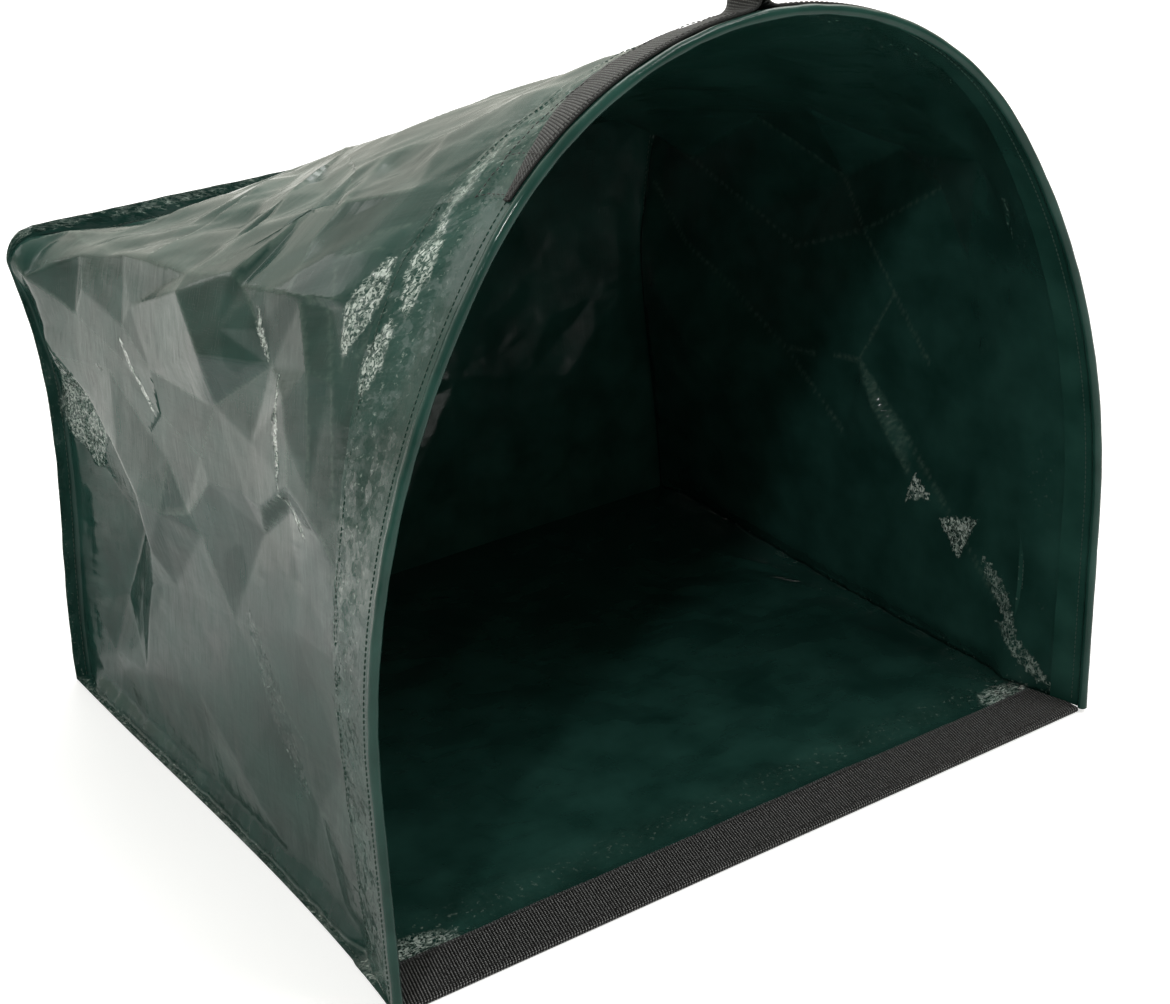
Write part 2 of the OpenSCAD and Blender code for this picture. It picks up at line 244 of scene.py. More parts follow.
@dataclass(frozen=True)
class WallShape:
    """Smooth form of the wall that runs from the hoop to the rear panel."""

    size: BagSizes

    def hoop(self, f: Array) -> tuple[Array, Array, Array, Array]:
        """Point and outward direction on the hoop's left half.

        Args:
            f: Lengths along the hoop from its foot.

        Returns:
            x, z and the direction's x and z, all for the left side.
        """
        z = self.size
        side = (f - z.leg_l) / z.side_r
        crown = z.side_angle + (f - z.ridge_s) / z.crown_r
        leg, low = f < z.leg_l, f < z.ridge_s
        turn = np.where(leg, 0.0, np.where(low, side, crown))
        cx = np.where(low, z.side_r - z.half_w, 0.0)
        r = np.where(low, z.side_r, z.crown_r)
        cz = np.where(low, z.leg_h, z.mouth_h - z.crown_r)
        px = np.where(leg, -z.half_w, cx - r * np.cos(turn))
        pz = np.where(leg, z.foot_z + f, cz + r * np.sin(turn))
        return px, pz, -np.cos(turn), np.sin(turn)

    def rear_draw(self, t: Array) -> Array:
        """How far the rear panel's side is drawn in, at a share t of its height."""
        return self.size.rear_pull * np.sin(math.pi * np.clip(t, 0, 1) ** 1.7)

    def rear_edge(
        self, f: Array, w: float, h: float, r: float
    ) -> tuple[Array, Array, Array, Array]:
        """Point and direction on a rear outline.

        Args:
            f: Lengths along the hoop from its foot, which the places belong to.
            w: Half width of the outline.
            h: Its height.
            r: Radius of its corners.

        Returns:
            x, z and the direction's x and z, all for the left side.
        """
        z = self.size
        inner_w, inner_h, inner_r = z.inner
        straight = inner_h - inner_r - z.foot_z
        corner = straight + inner_r * math.pi / 4
        whole = straight + inner_r * math.pi / 2 + inner_w - inner_r
        share = (f - z.ridge_s) / (z.half_l - z.ridge_s)
        over = corner + (whole - corner) * share
        d = np.where(f < z.ridge_s, corner * f / z.ridge_s, over)
        side = h - r - z.foot_z
        turn = (d - side) / r
        up, bend = d < side, turn < math.pi / 2
        level = -w + r + (turn - math.pi / 2) * r
        drawn = -w + self.rear_draw((z.foot_z + d) / (h - r))
        x = np.where(up, drawn, np.where(bend, r - w - r * np.cos(turn), level))
        pz = np.where(up, z.foot_z + d, np.where(bend, h - r + r * np.sin(turn), h))
        nx = np.where(up, -1.0, np.where(bend, -np.cos(turn), 0.0))
        nz = np.where(up, 0.0, np.where(bend, np.sin(turn), 1.0))
        return x, pz, nx, nz

    def slack(self, f: Array, y: Array) -> Array:
        """How far the slack sheet stands out, at length f from the nearer foot."""
        z = self.size
        # Middle and reach, as shares of the ridge's length and of the depth, and height
        swells = (
            (0.58, 0.84, 0.22, 0.19, z.fold_h),
            (0.45, 0.9, 0.23, 0.18, -0.85 * z.fold_h),
            (0.58, 0.35, 0.32, 0.3, z.fold_h / 7),
            (0.9, 0.48, 0.11, 0.22, z.fold_h / 7),
            (1.18, 0.5, 0.09, 0.33, z.wave_h),
            (z.half_l / z.ridge_s, 0.55, 0.12, 0.3, -z.wave_h),
        )
        total = sum(
            high
            * np.exp(
                -(((f / z.ridge_s - a) / reach) ** 2)
                - ((y / z.bag_d - b) / depth) ** 2
            )
            for a, b, reach, depth, high in swells
        )
        behind = np.clip((y - z.hem_out_w) / 40, 0, 1)
        held = behind * np.clip((z.rear_y - y) / 30, 0, 1)
        return total * held * np.clip(f / 60, 0, 1)

    def point(self, s: Array, y: Array, out: Array | float = 0.0) -> Array:
        """Point on the wall.

        Args:
            s: Length along the hoop from the left foot.
            y: Depth behind the hoop's centre line.
            out: How far outside the wall's middle the point lies.

        Returns:
            Points in the row frame, in millimetres.
        """
        z = self.size
        s, y = np.broadcast_arrays(np.asarray(s, float), np.asarray(y, float))
        f = z.from_foot(s)
        v = np.maximum(y - z.panel_y, 0) / (z.bag_d - z.panel_y)
        w = v**z.slope_power
        fx, fz, fnx, fnz = self.hoop(f)
        rx, rz, rnx, rnz = self.rear_edge(f, *z.inner)
        near = np.exp(-(((f - z.ridge_s) / z.fold_spread) ** 2))
        behind = np.maximum(y - z.hem_in_w, 0) / (z.bag_d - z.hem_in_w)
        bulge = z.corner_bulge * np.sin(math.pi * behind**0.6) ** 2 * near
        low = np.maximum(1 - f / z.ridge_s, 0)
        flange = np.minimum(v * z.bag_d / z.hem_out_w, 1)
        pull = z.side_pull * PULL_PEAK * v * (1 - v) ** 2
        draw = pull + z.side_flange * (flange - w)
        x = fx + (rx - fx) * w - BULGE_WAY[0] * bulge + draw * low
        drop = (z.foot_z - z.wall_z) * np.clip((y - z.hem_out_w) / 6, 0, 1)
        drop = drop * np.maximum(1 - f / z.leg_l, 0)
        pz = fz + (rz - fz) * w - BULGE_WAY[1] * bulge - drop
        nx, nz = fnx + (rnx - fnx) * w, fnz + (rnz - fnz) * w
        n = np.hypot(nx, nz)
        out = out + self.slack(f, y)
        x, pz = x + nx / n * out, pz + nz / n * out
        return np.stack([-x * z.side(s), y - z.bag_d / 2, pz], -1)

    def normal(self, s: Array, y: Array) -> Array:
        """Unit directions straight out of the smooth wall."""
        along = self.point(s + 1.0, y) - self.point(s - 1.0, y)
        back = self.point(s, y + 1.0) - self.point(s, y - 1.0)
        n = np.cross(along, back)
        return n / np.linalg.norm(n, axis=-1, keepdims=True)

    def foot_half(self, y: Array) -> Array:
        """Half width of the wall's foot at depth y."""
        return -self.point(np.zeros_like(y), y)[..., 0]

    def floor_half(self, y: Array) -> Array:
        """Half width of the ground sheet at depth y, seam flange included."""
        z = self.size
        share = np.minimum(np.maximum(y, 0) / z.hem_out_w, 1)
        return self.foot_half(y) + z.side_flange * share

    def flange_edge(self, s: Array, y: float) -> Array:
        """Points at the outer edge of the wrap sheet's rear flange.

        Args:
            s: Lengths along the hoop from the left foot.
            y: Where the points lie along y in the row frame.
        """
        z = self.size
        x, pz, _, _ = self.rear_edge(z.from_foot(s), *z.outer)
        x, pz = -x * z.side(s), np.maximum(pz, LOWEST)
        return np.stack([x, np.full_like(x, y), pz], -1)


# --- Folds and crinkles ---


class Facets:
    """Values over a flat sheet that are linear between scattered points."""

    def __init__(self, points: Array, values: Array, creases: Sequence = ()) -> None:
        """Join the points into triangles.

        Args:
            points: Places (s, y) of the points, in millimetres.
            values: Height or position at each point.
            creases: Pairs of point numbers that a fold joins.
        """
        verts, _, faces, origins, _, _ = delaunay_2d_cdt(
            [Vector(p) for p in points], [tuple(c) for c in creases], [], 0, 1e-4
        )
        self._corners = np.array([(v.x, v.y) for v in verts])
        self._faces = np.array(faces)
        self._values = np.array(
            [values[o[0] if o else _nearest(points, v)] for v, o in zip(verts, origins)]
        )
        self._tree = BVHTree.FromPolygons([Vector((v.x, v.y, 0)) for v in verts], faces)

    def at(self, s: Array, y: Array) -> Array:
        """Value at each place, from the triangle that is over or next to it."""
        where = np.stack([s.ravel(), y.ravel()], -1).astype(float)
        face = [self._tree.find_nearest(Vector((a, b, 0.0)))[2] for a, b in where]
        corner = self._faces[face]
        a, b, c = (self._corners[corner[:, k]] for k in range(3))
        u, v, w = b - a, c - a, where - a
        area = u[:, 0] * v[:, 1] - u[:, 1] * v[:, 0]
        q = (w[:, 0] * v[:, 1] - w[:, 1] * v[:, 0]) / area
        r = (u[:, 0] * w[:, 1] - u[:, 1] * w[:, 0]) / area
        shares = np.stack([1 - q - r, q, r])
        values = self._values[corner]
        if values.ndim == 3:
            return np.einsum("kn,nkd->nd", shares, values).reshape(*s.shape, -1)
        return np.einsum("kn,nk->n", shares, values).reshape(s.shape)


def _nearest(points: Array, v: Vector) -> int:
    return int(np.argmin(np.hypot(points[:, 0] - v.x, points[:, 1] - v.y)))


@dataclass(frozen=True)
class Crumple:
    """Random facets, as in a sheet that was folded up and opened again.

    Attributes:
        cell: Distance between the facets' corners, along s and along y.
        height: Largest height of a corner.
        lean: How far the cells lean along s per millimetre of y.
        seed: Number that fixes the random places.
    """

    cell: tuple[float, float]
    height: float
    seed: int
    lean: float = 0.0

    def relief(self, s: Array, y: Array) -> Array:
        rng = np.random.default_rng(self.seed)
        cs, cy = self.cell
        q = s - self.lean * y
        ns = int((q.max() - q.min()) / cs) + 4
        ny = int((y.max() - y.min()) / cy) + 4
        gs, gy = np.meshgrid(np.arange(ns), np.arange(ny), indexing="ij")
        jitter = rng.uniform(-0.42, 0.42, (2, ns, ny))
        gs, gy = gs + 0.5 * (gy % 2) + jitter[0], gy + jitter[1]
        heights = self.height * rng.uniform(-1, 1, ns * ny)
        facets = Facets(np.stack([gs.ravel(), gy.ravel()], -1), heights)
        return facets.at((q - q.min()) / cs + 1.2, (y - y.min()) / cy + 1.2)


@dataclass(frozen=True)
class Puckers:
    """Short wrinkles square to a seam, which die out away from it."""

    pitch: float
    height: float
    reach: float
    seed: int

    def relief(self, along: Array, away: Array) -> Array:
        """Height of the wrinkles.

        Args:
            along: Length along the seam.
            away: Distance from the seam.
        """
        rng = np.random.default_rng(self.seed)
        total = np.zeros_like(along)
        for octave, share in ((1.0, 0.6), (0.45, 0.4)):
            step = self.pitch * octave
            knots = np.arange(along.min() - 3 * step, along.max() + 4 * step, step)
            knots = knots + rng.uniform(-0.35, 0.35, len(knots)) * step
            heights = rng.uniform(-1, 1, len(knots)) * share
            lengths = rng.uniform(0.4, 1.3, len(knots)) * self.reach
            reach = np.interp(along, knots, lengths)
            total += np.interp(along, knots, heights) * np.exp(
                -np.maximum(away, 0) / reach
            )
        return self.height * total


# A crease line or a set of places on the wall: s, y and height, in millimetres
Line = tuple[tuple[float, float, float], ...]

# Folds of the left side, from the rear corner forwards and from the top down
LEFT_FOLDS: tuple[Line, ...] = (
    ((453, 488, 0), (472, 462, 4), (458, 338, 4), (461, 232, 5), (465, 181, 5)),
    ((465, 181, 5), (462, 173, -2), (450, 118, 3), (438, 83, 5)),
    ((453, 488, 0), (437, 472, 4), (399, 413, 6), (368, 334, 6), (330, 282, 5)),
    ((330, 282, 5), (304, 229, 3)),
    ((453, 488, 0), (379, 483, 3), (322, 415, 8), (279, 357, 12), (250, 329, 12)),
    ((250, 329, 12), (240, 300, 8), (249, 260, 2)),
    ((454, 409, 0), (424, 398, 4), (399, 413, 6)),
    ((401, 331, 3), (370, 286, 4), (357, 215, -2)),
    ((370, 286, 4), (308, 305, 7), (354, 361, 8), (353, 462, 7)),
    ((290, 279, 6), (252, 265, 2), (249, 260, 2)),
    ((290, 279, 6), (240, 300, 8)),
    ((461, 232, 5), (449, 230, 4), (403, 198, 3), (357, 202, -3)),
    ((357, 202, -3), (402, 138, -10), (431, 146, -7), (462, 173, -2)),
    ((357, 202, -3), (304, 229, 3), (249, 260, 2)),
    ((402, 138, -10), (372, 115, 1), (344, 111, 3), (306, 113, 3), (281, 154, 0)),
    ((443, 108, 2), (438, 91, -1), (384, 76, 2), (393, 93, 3), (443, 108, 2)),
    ((393, 93, 3), (307, 90, 3)),
    ((384, 76, 2), (299, 65, 2)),
    ((249, 260, 2), (285, 222, 3), (287, 177, 0), (281, 154, 0), (259, 166, -7)),
    ((306, 113, 3), (297, 99, 3), (281, 77, 2), (263, 60, 2)),
    ((249, 260, 2), (234, 251, -1), (178, 214, -4), (186, 169, -3)),
    ((259, 166, -7), (286, 129, -6), (277, 76, 2)),
    ((178, 214, -4), (120, 118, -2)),
    ((390, 72, 0), (432, 74, 4), (452, 60, 3), (430, 52, 3), (399, 62, 2)),
)
LEFT_POINTS: Line = (
    (190, 395, -19), (115, 425, -14), (150, 362, -7), (55, 437, -4),
    (232, 366, -14), (90, 475, -4), (264, 394, -9), (26, 462, -1), (121, 389, -10),
    (199, 330, 4), (168, 315, -7), (500, 400, 0), (505, 300, -1), (508, 220, -1),
    (505, 150, 0), (123, 168, -2), (76, 117, -3), (205, 121, -3), (242, 118, -5),
    (126, 70, -4), (56, 214, 4), (322, 55, 1), (206, 50, -1), (370, 55, 1),
    (52, 25, 0), (91, 283, -1), (62, 377, -2), (421, 318, 0), (429, 186, -4),
    (333, 158, -1), (130, 233, -2), (318, 478, -3), (270, 476, -4),
    (312, 447, -5),
)
# Folds of the top's left half, from the hem backwards
TOP_FOLDS: tuple[Line, ...] = (
    ((450, 118, 3), (485, 130, 6), (506, 129, 8), (508, 82, 5)),
    ((506, 129, 8), (547, 162, 7), (552, 111, 6), (577, 90, 5), (615, 75, 1)),
    ((465, 181, 5), (508, 166, 6), (536, 173, 8), (571, 198, 9), (606, 167, 5)),
    ((575, 286, 10), (526, 163, 5), (506, 129, 8)),
    ((462, 300, 6), (489, 285, 8), (513, 295, 9), (539, 313, 10), (558, 330, 8)),
    ((461, 232, 5), (496, 209, 7), (521, 227, 8), (566, 262, 10), (600, 300, 6)),
    ((461, 232, 5), (476, 200, 5), (506, 129, 8)),
    ((438, 83, 5), (467, 97, 4), (467, 71, 4)),
    ((467, 97, 4), (479, 88, 3), (481, 66, 2)),
    ((472, 462, 4), (483, 417, 5), (500, 395, 6), (532, 386, 8), (580, 360, 6)),
)
TOP_POINTS: Line = (
    (505, 255, 2), (545, 245, 5), (530, 200, 3), (525, 108, 1), (537, 138, 2),
    (566, 150, 4), (590, 130, 1), (500, 340, 3), (540, 360, 5), (608, 240, 2),
    (620, 350, 1), (640, 200, -2), (650, 120, -1), (505, 430, 2), (560, 430, 2),
    (620, 430, 0), (500, 370, 3), (520, 262, 5), (550, 290, 6), (490, 235, 3),
)
# Folds of the right side, given as on the left and mirrored
RIGHT_FOLDS: tuple[Line, ...] = (
    ((453, 486, 0), (405, 430, 8), (350, 352, 13), (318, 300, 10)),
    ((380, 480, 3), (310, 440, 12), (262, 380, 13), (215, 312, 6), (150, 240, 2)),
    ((455, 330, 2), (398, 250, 6), (352, 214, -4), (395, 140, 2)),
    ((318, 300, 10), (352, 214, -4), (286, 190, 8), (232, 150, 3)),
    ((215, 312, 6), (222, 226, 4), (160, 176, 7), (105, 118, 2), (60, 80, 4)),
    ((286, 190, 8), (222, 226, 4), (188, 205, -3), (134, 170, 1)),
)
RIGHT_POINTS: Line = (
    (430, 190, 8), (300, 240, 7), (470, 280, 0), (200, 420, -9), (110, 430, -6),
    (160, 330, -4), (250, 100, 2), (330, 110, 3), (90, 220, 0), (60, 330, 0),
    (420, 90, 4), (270, 470, -2), (40, 180, 2), (25, 60, 0), (180, 70, 2),
)


def smooth_step(x: Array, low: float, high: float) -> Array:
    """0 below low, 1 above high, and smooth between them."""
    t = np.clip((x - low) / (high - low), 0, 1)
    return t * t * (3 - 2 * t)


def blurred(heights: Array) -> Array:
    """Heights of a grid with their sharpest edges softened."""
    for axis in (0, 1):
        ends = [(1, 1) if a == axis else (0, 0) for a in (0, 1)]
        padded = np.moveaxis(np.pad(heights, ends, mode="edge"), axis, 0)
        mixed = (padded[:-2] + 2 * padded[1:-1] + padded[2:]) / 4
        heights = np.moveaxis(mixed, 0, axis)
    return heights


@dataclass(frozen=True)
class WallRelief:
    """Folds, wrinkles and puckers of the wall, as heights over its smooth form.

    Attributes:
        hem_fade: Depths between which the folds rise behind the hem.
        rear_fade: The same for distances from the rear sheet.
        ground_fade: The same for lengths from the foot.
    """

    size: BagSizes
    shape: WallShape
    hem_fade: tuple[float, float] = (34, 84)
    rear_fade: tuple[float, float] = (0, 22)
    ground_fade: tuple[float, float] = (0, 26)
    long_wrinkles: tuple[Crumple, ...] = (
        Crumple(cell=(24, 80), height=1.8, seed=11, lean=-0.4),
        Crumple(cell=(10, 40), height=0.7, seed=12, lean=-0.5),
    )
    crumples: tuple[Crumple, ...] = (
        Crumple(cell=(44, 36), height=0.3, seed=21),
        Crumple(cell=(19, 16), height=0.15, seed=22),
    )
    hem_puckers: Puckers = Puckers(pitch=11.0, height=1.3, reach=26.0, seed=31)
    rear_puckers: Puckers = Puckers(pitch=9.0, height=1.5, reach=18.0, seed=32)
    ground_puckers: Puckers = Puckers(pitch=12.0, height=1.6, reach=16.0, seed=33)

    def _half_folds(self, folds: Sequence[Line], extra: Line) -> Facets:
        """Facets of one half of the wall, between its crease lines.

        Args:
            folds: Its crease lines.
            extra: Further corners of facets.
        """
        z = self.size
        places: dict[tuple[float, float], float] = {}
        for s, y, h in (place for fold in folds for place in fold):
            places.setdefault((s, y), h)
        names = list(places)
        creases = []
        for fold in folds:
            order = [names.index((s, y)) for s, y, _ in fold]
            creases += list(zip(order, order[1:]))
        for s, y, h in extra:
            places.setdefault((s, y), h)
        for t in np.linspace(0, 1, 9):
            y = 20 + 480 * float(t)
            sag = z.wave_h * math.exp(-(((y / z.bag_d - 0.55) / 0.3) ** 2))
            places.setdefault((-5.0, y), 0.0)
            places.setdefault((z.half_l, y), -sag)
            places.setdefault(((z.half_l - 5) * float(t), 20.0), 0.0)
            places.setdefault(((z.half_l - 5) * float(t), 500.0), 0.0)
        where = np.array(list(places))
        out = np.array(list(places.values())) - self.shape.slack(*where.T)
        return Facets(where, self.shape.point(*where.T, out), creases)

    def offset(self, s: Array, y: Array) -> tuple[Array, Array]:
        """Move from the smooth wall to the creased one, and its height over it."""
        z = self.size
        normal = self.shape.normal(s, y)
        far = z.from_foot(s)
        behind_hem = smooth_step(y, *self.hem_fade)
        before_rear = smooth_step(z.rear_y - y, *self.rear_fade)
        above_ground = smooth_step(far, *self.ground_fade)
        left = self._half_folds(LEFT_FOLDS + TOP_FOLDS, LEFT_POINTS + TOP_POINTS)
        right = self._half_folds(RIGHT_FOLDS, RIGHT_POINTS + TOP_POINTS)
        flat = np.where((s > z.half_l)[..., None], right.at(far, y), left.at(far, y))
        flat = flat - self.shape.point(far, y)
        flat[..., 0] *= -z.side(s)
        top = smooth_step(far, z.ridge_s - 20, z.ridge_s + 30)
        wide = sum(c.relief(s, y) for c in self.long_wrinkles)
        small = sum(c.relief(s, y) for c in self.crumples)
        share = behind_hem * above_ground * before_rear
        total = (wide * top + small) * share
        total = total + self.seam_pull(far, y) + self.hem_relief(s, y)
        ground = self.ground_puckers.relief(y, far) * behind_hem
        rear = self.rear_puckers.relief(s, z.rear_y - y) * above_ground
        total = total + (ground + rear) * before_rear
        offset = flat * share[..., None] + normal * total[..., None]
        return offset, total + (flat * normal).sum(-1) * share

    def seam_pull(self, far: Array, y: Array) -> Array:
        """How far the sides swell out over their rear flanges, most at the corners."""
        z = self.size
        side = smooth_step(far, 300, 380) * (1 - smooth_step(far, 470, 520))
        near = np.exp(-(((far - 452) / 30) ** 2))
        rise = smooth_step(y, z.rear_y - 80, z.rear_y - 2)
        return (5.0 * side + 5.0 * near) * rise

    def hem_relief(self, s: Array, y: Array) -> Array:
        """Puckers that the hem shares with the wall under it."""
        z = self.size
        from_bead = smooth_step(y, z.panel_y + 1, z.panel_y + 14)
        return self.hem_puckers.relief(s, np.abs(y - 44)) * from_bead


# --- Meshes ---


def linked(name: str, data: bpy.types.ID) -> bpy.types.Object:
    """Make an object that shows some data, and link it to the scene."""
    obj = bpy.data.objects.new(name, data)
    bpy.context.scene.collection.objects.link(obj)
    return obj


def grid_object(
    name: str,
    points: Array,
    uv: Array,
    masks: dict[str, Array] | None = None,
    closed: bool = False,
    flip: bool = False,
) -> bpy.types.Object:
    """Make an object from a grid of points.

    Args:
        name: Name of the piece.
        points: Grid of points in millimetres, shaped (n, m, 3).
        uv: Place of each point on the flat sheet in millimetres, shaped (n, m, 2).
        masks: Named weights of each point, for the finish to read.
        closed: Whether the grid's second direction closes on itself, with capped ends.
        flip: Whether the faces look the other way.

    Returns:
        The object, linked to the scene, with its origin at the frame's.
    """
    n, m = points.shape[:2]
    steps = np.arange(n - 1), np.arange(m if closed else m - 1)
    rows, cols = np.meshgrid(*steps, indexing="ij")
    here, beside = rows * m + cols, rows * m + (cols + 1) % m
    quads = np.stack([here, beside, beside + m, here + m], -1).reshape(-1, 4)
    if flip:
        quads = quads[:, ::-1]
    corners, starts = quads.ravel(), np.arange(len(quads)) * 4
    if closed:
        ends = np.concatenate([np.arange(m)[::-1], (n - 1) * m + np.arange(m)])
        starts = np.concatenate([starts, [len(corners), len(corners) + m]])
        corners = np.concatenate([corners, ends])
    mesh = bpy.data.meshes.new(name)
    mesh.vertices.add(n * m)
    mesh.vertices.foreach_set("co", (points.reshape(-1, 3) * MM).ravel())
    mesh.loops.add(len(corners))
    mesh.loops.foreach_set("vertex_index", corners)
    mesh.polygons.add(len(starts))
    mesh.polygons.foreach_set("loop_start", starts)
    mesh.polygons.foreach_set("use_smooth", np.ones(len(starts), bool))
    layer = mesh.uv_layers.new(name="Sheet")
    layer.data.foreach_set("uv", (uv.reshape(-1, 2)[corners] * MM).ravel())
    for mask, values in (masks or {}).items():
        attribute = mesh.attributes.new(mask, "FLOAT", "POINT")
        attribute.data.foreach_set("value", values.ravel().astype(np.float32))
    mesh.update(calc_edges=True)
    mesh.validate()
    return linked(name, mesh)


def finish_with(obj: bpy.types.Object, material: bpy.types.Material) -> None:
    """Give an object its only finish."""
    obj.data.materials.clear()
    obj.data.materials.append(material)


# The crumples' own places start 300 mm left of the bag's middle
CRUMPLE_SHIFT = 300
FLOOR_CRUMPLES = (
    Crumple(cell=(70, 60), height=5.0, seed=51),
    Crumple(cell=(26, 24), height=1.6, seed=52),
    Crumple(cell=(30, 7), height=0.5, seed=53, lean=0.4),
)
REAR_CRUMPLES = (
    Crumple(cell=(80, 70), height=5.0, seed=61),
    Crumple(cell=(32, 30), height=1.8, seed=62),
    Crumple(cell=(13, 12), height=0.5, seed=63),
)


@dataclass(frozen=True)
class SheetGrid:
    """Places (s, y) on the wall where its sheets have points."""

    size: BagSizes
    fine: float = 2.4
    coarse: float = 4.2
    row: float = 2.5

    @cached_property
    def s(self) -> Array:
        """Lengths along the hoop, finer on the left, where the folds are sharpest."""
        whole, turn = 2 * self.size.half_l, self.size.ridge_s + 170
        left = np.linspace(0, turn, int(turn / self.fine))
        right = np.linspace(turn, whole, int((whole - turn) / self.coarse))
        return np.concatenate([left, right[1:]])

    @cached_property
    def y(self) -> Array:
        """Depths of the rows."""
        z = self.size
        rows = int((z.rear_y - z.panel_y) / self.row)
        return np.linspace(z.panel_y, z.last_y, rows)


@dataclass(frozen=True)
class FlangeWave:
    """Waves of the sewn flanges round the rear panel, shared by both layers."""

    height: float = 1.3

    def relief(self, x: Array, z: Array) -> Array:
        """How far the flange stands back or forward at a place on the rear outline."""
        waves = (
            np.sin(x / 17.0 + 0.7) * np.cos(z / 23.0)
            + 0.6 * np.sin(x / 6.1 + z / 7.7)
            + 0.35 * np.sin(x / 3.3 - z / 4.1 + 1.9)
        )
        return self.height * waves / 1.95


def nearest_on(
    a: Array, b: Array, s: Array, y: Array
) -> tuple[Array, Array, Array, Array]:
    """Place on a straight line from a to b that is nearest to each place.

    Returns:
        Its s and y, its distance, and its share of the way from a to b.
    """
    d = b - a
    t = np.clip(((s - a[0]) * d[0] + (y - a[1]) * d[1]) / (d @ d), 0, 1)
    near_s, near_y = a[0] + t * d[0], a[1] + t * d[1]
    return near_s, near_y, np.hypot(s - near_s, y - near_y), t


def snapped(
    s: Array, y: Array, lines: Sequence[tuple[Array, Array]], reach: float
) -> tuple[Array, Array, Array]:
    """Move the places of a grid that lie near a crease onto it.

    Args:
        s: Lengths along the hoop.
        y: Depths.
        lines: Ends (s, y) of each straight piece of a crease.
        reach: How far a place may move.

    Returns:
        The new s and y, and 1 for each place that lies on a crease.
    """
    best = np.full(s.shape, reach)
    new_s, new_y = s.copy(), y.copy()
    for a, b in lines:
        near_s, near_y, away, _ = nearest_on(a, b, s, y)
        near = away < best
        best = np.where(near, away, best)
        new_s, new_y = np.where(near, near_s, new_s), np.where(near, near_y, new_y)
    return new_s, new_y, (best < reach).astype(float)


def crease_lines(half_l: float) -> list[tuple[Array, Array]]:
    """Ends (s, y) of each straight piece of the wall's creases."""
    lines = []
    for mirrored, folds in ((False, LEFT_FOLDS + TOP_FOLDS), (True, RIGHT_FOLDS)):
        for fold in folds:
            row = np.array([place[:2] for place in fold], float)
            if mirrored:
                row[:, 0] = 2 * half_l - row[:, 0]
            lines += list(zip(row, row[1:]))
    return lines


def run_along(path: Array) -> Array:
    """Length along a row of points up to each of them."""
    steps = np.linalg.norm(np.diff(path, axis=0), axis=-1)
    return np.concatenate([[0], np.cumsum(steps)])


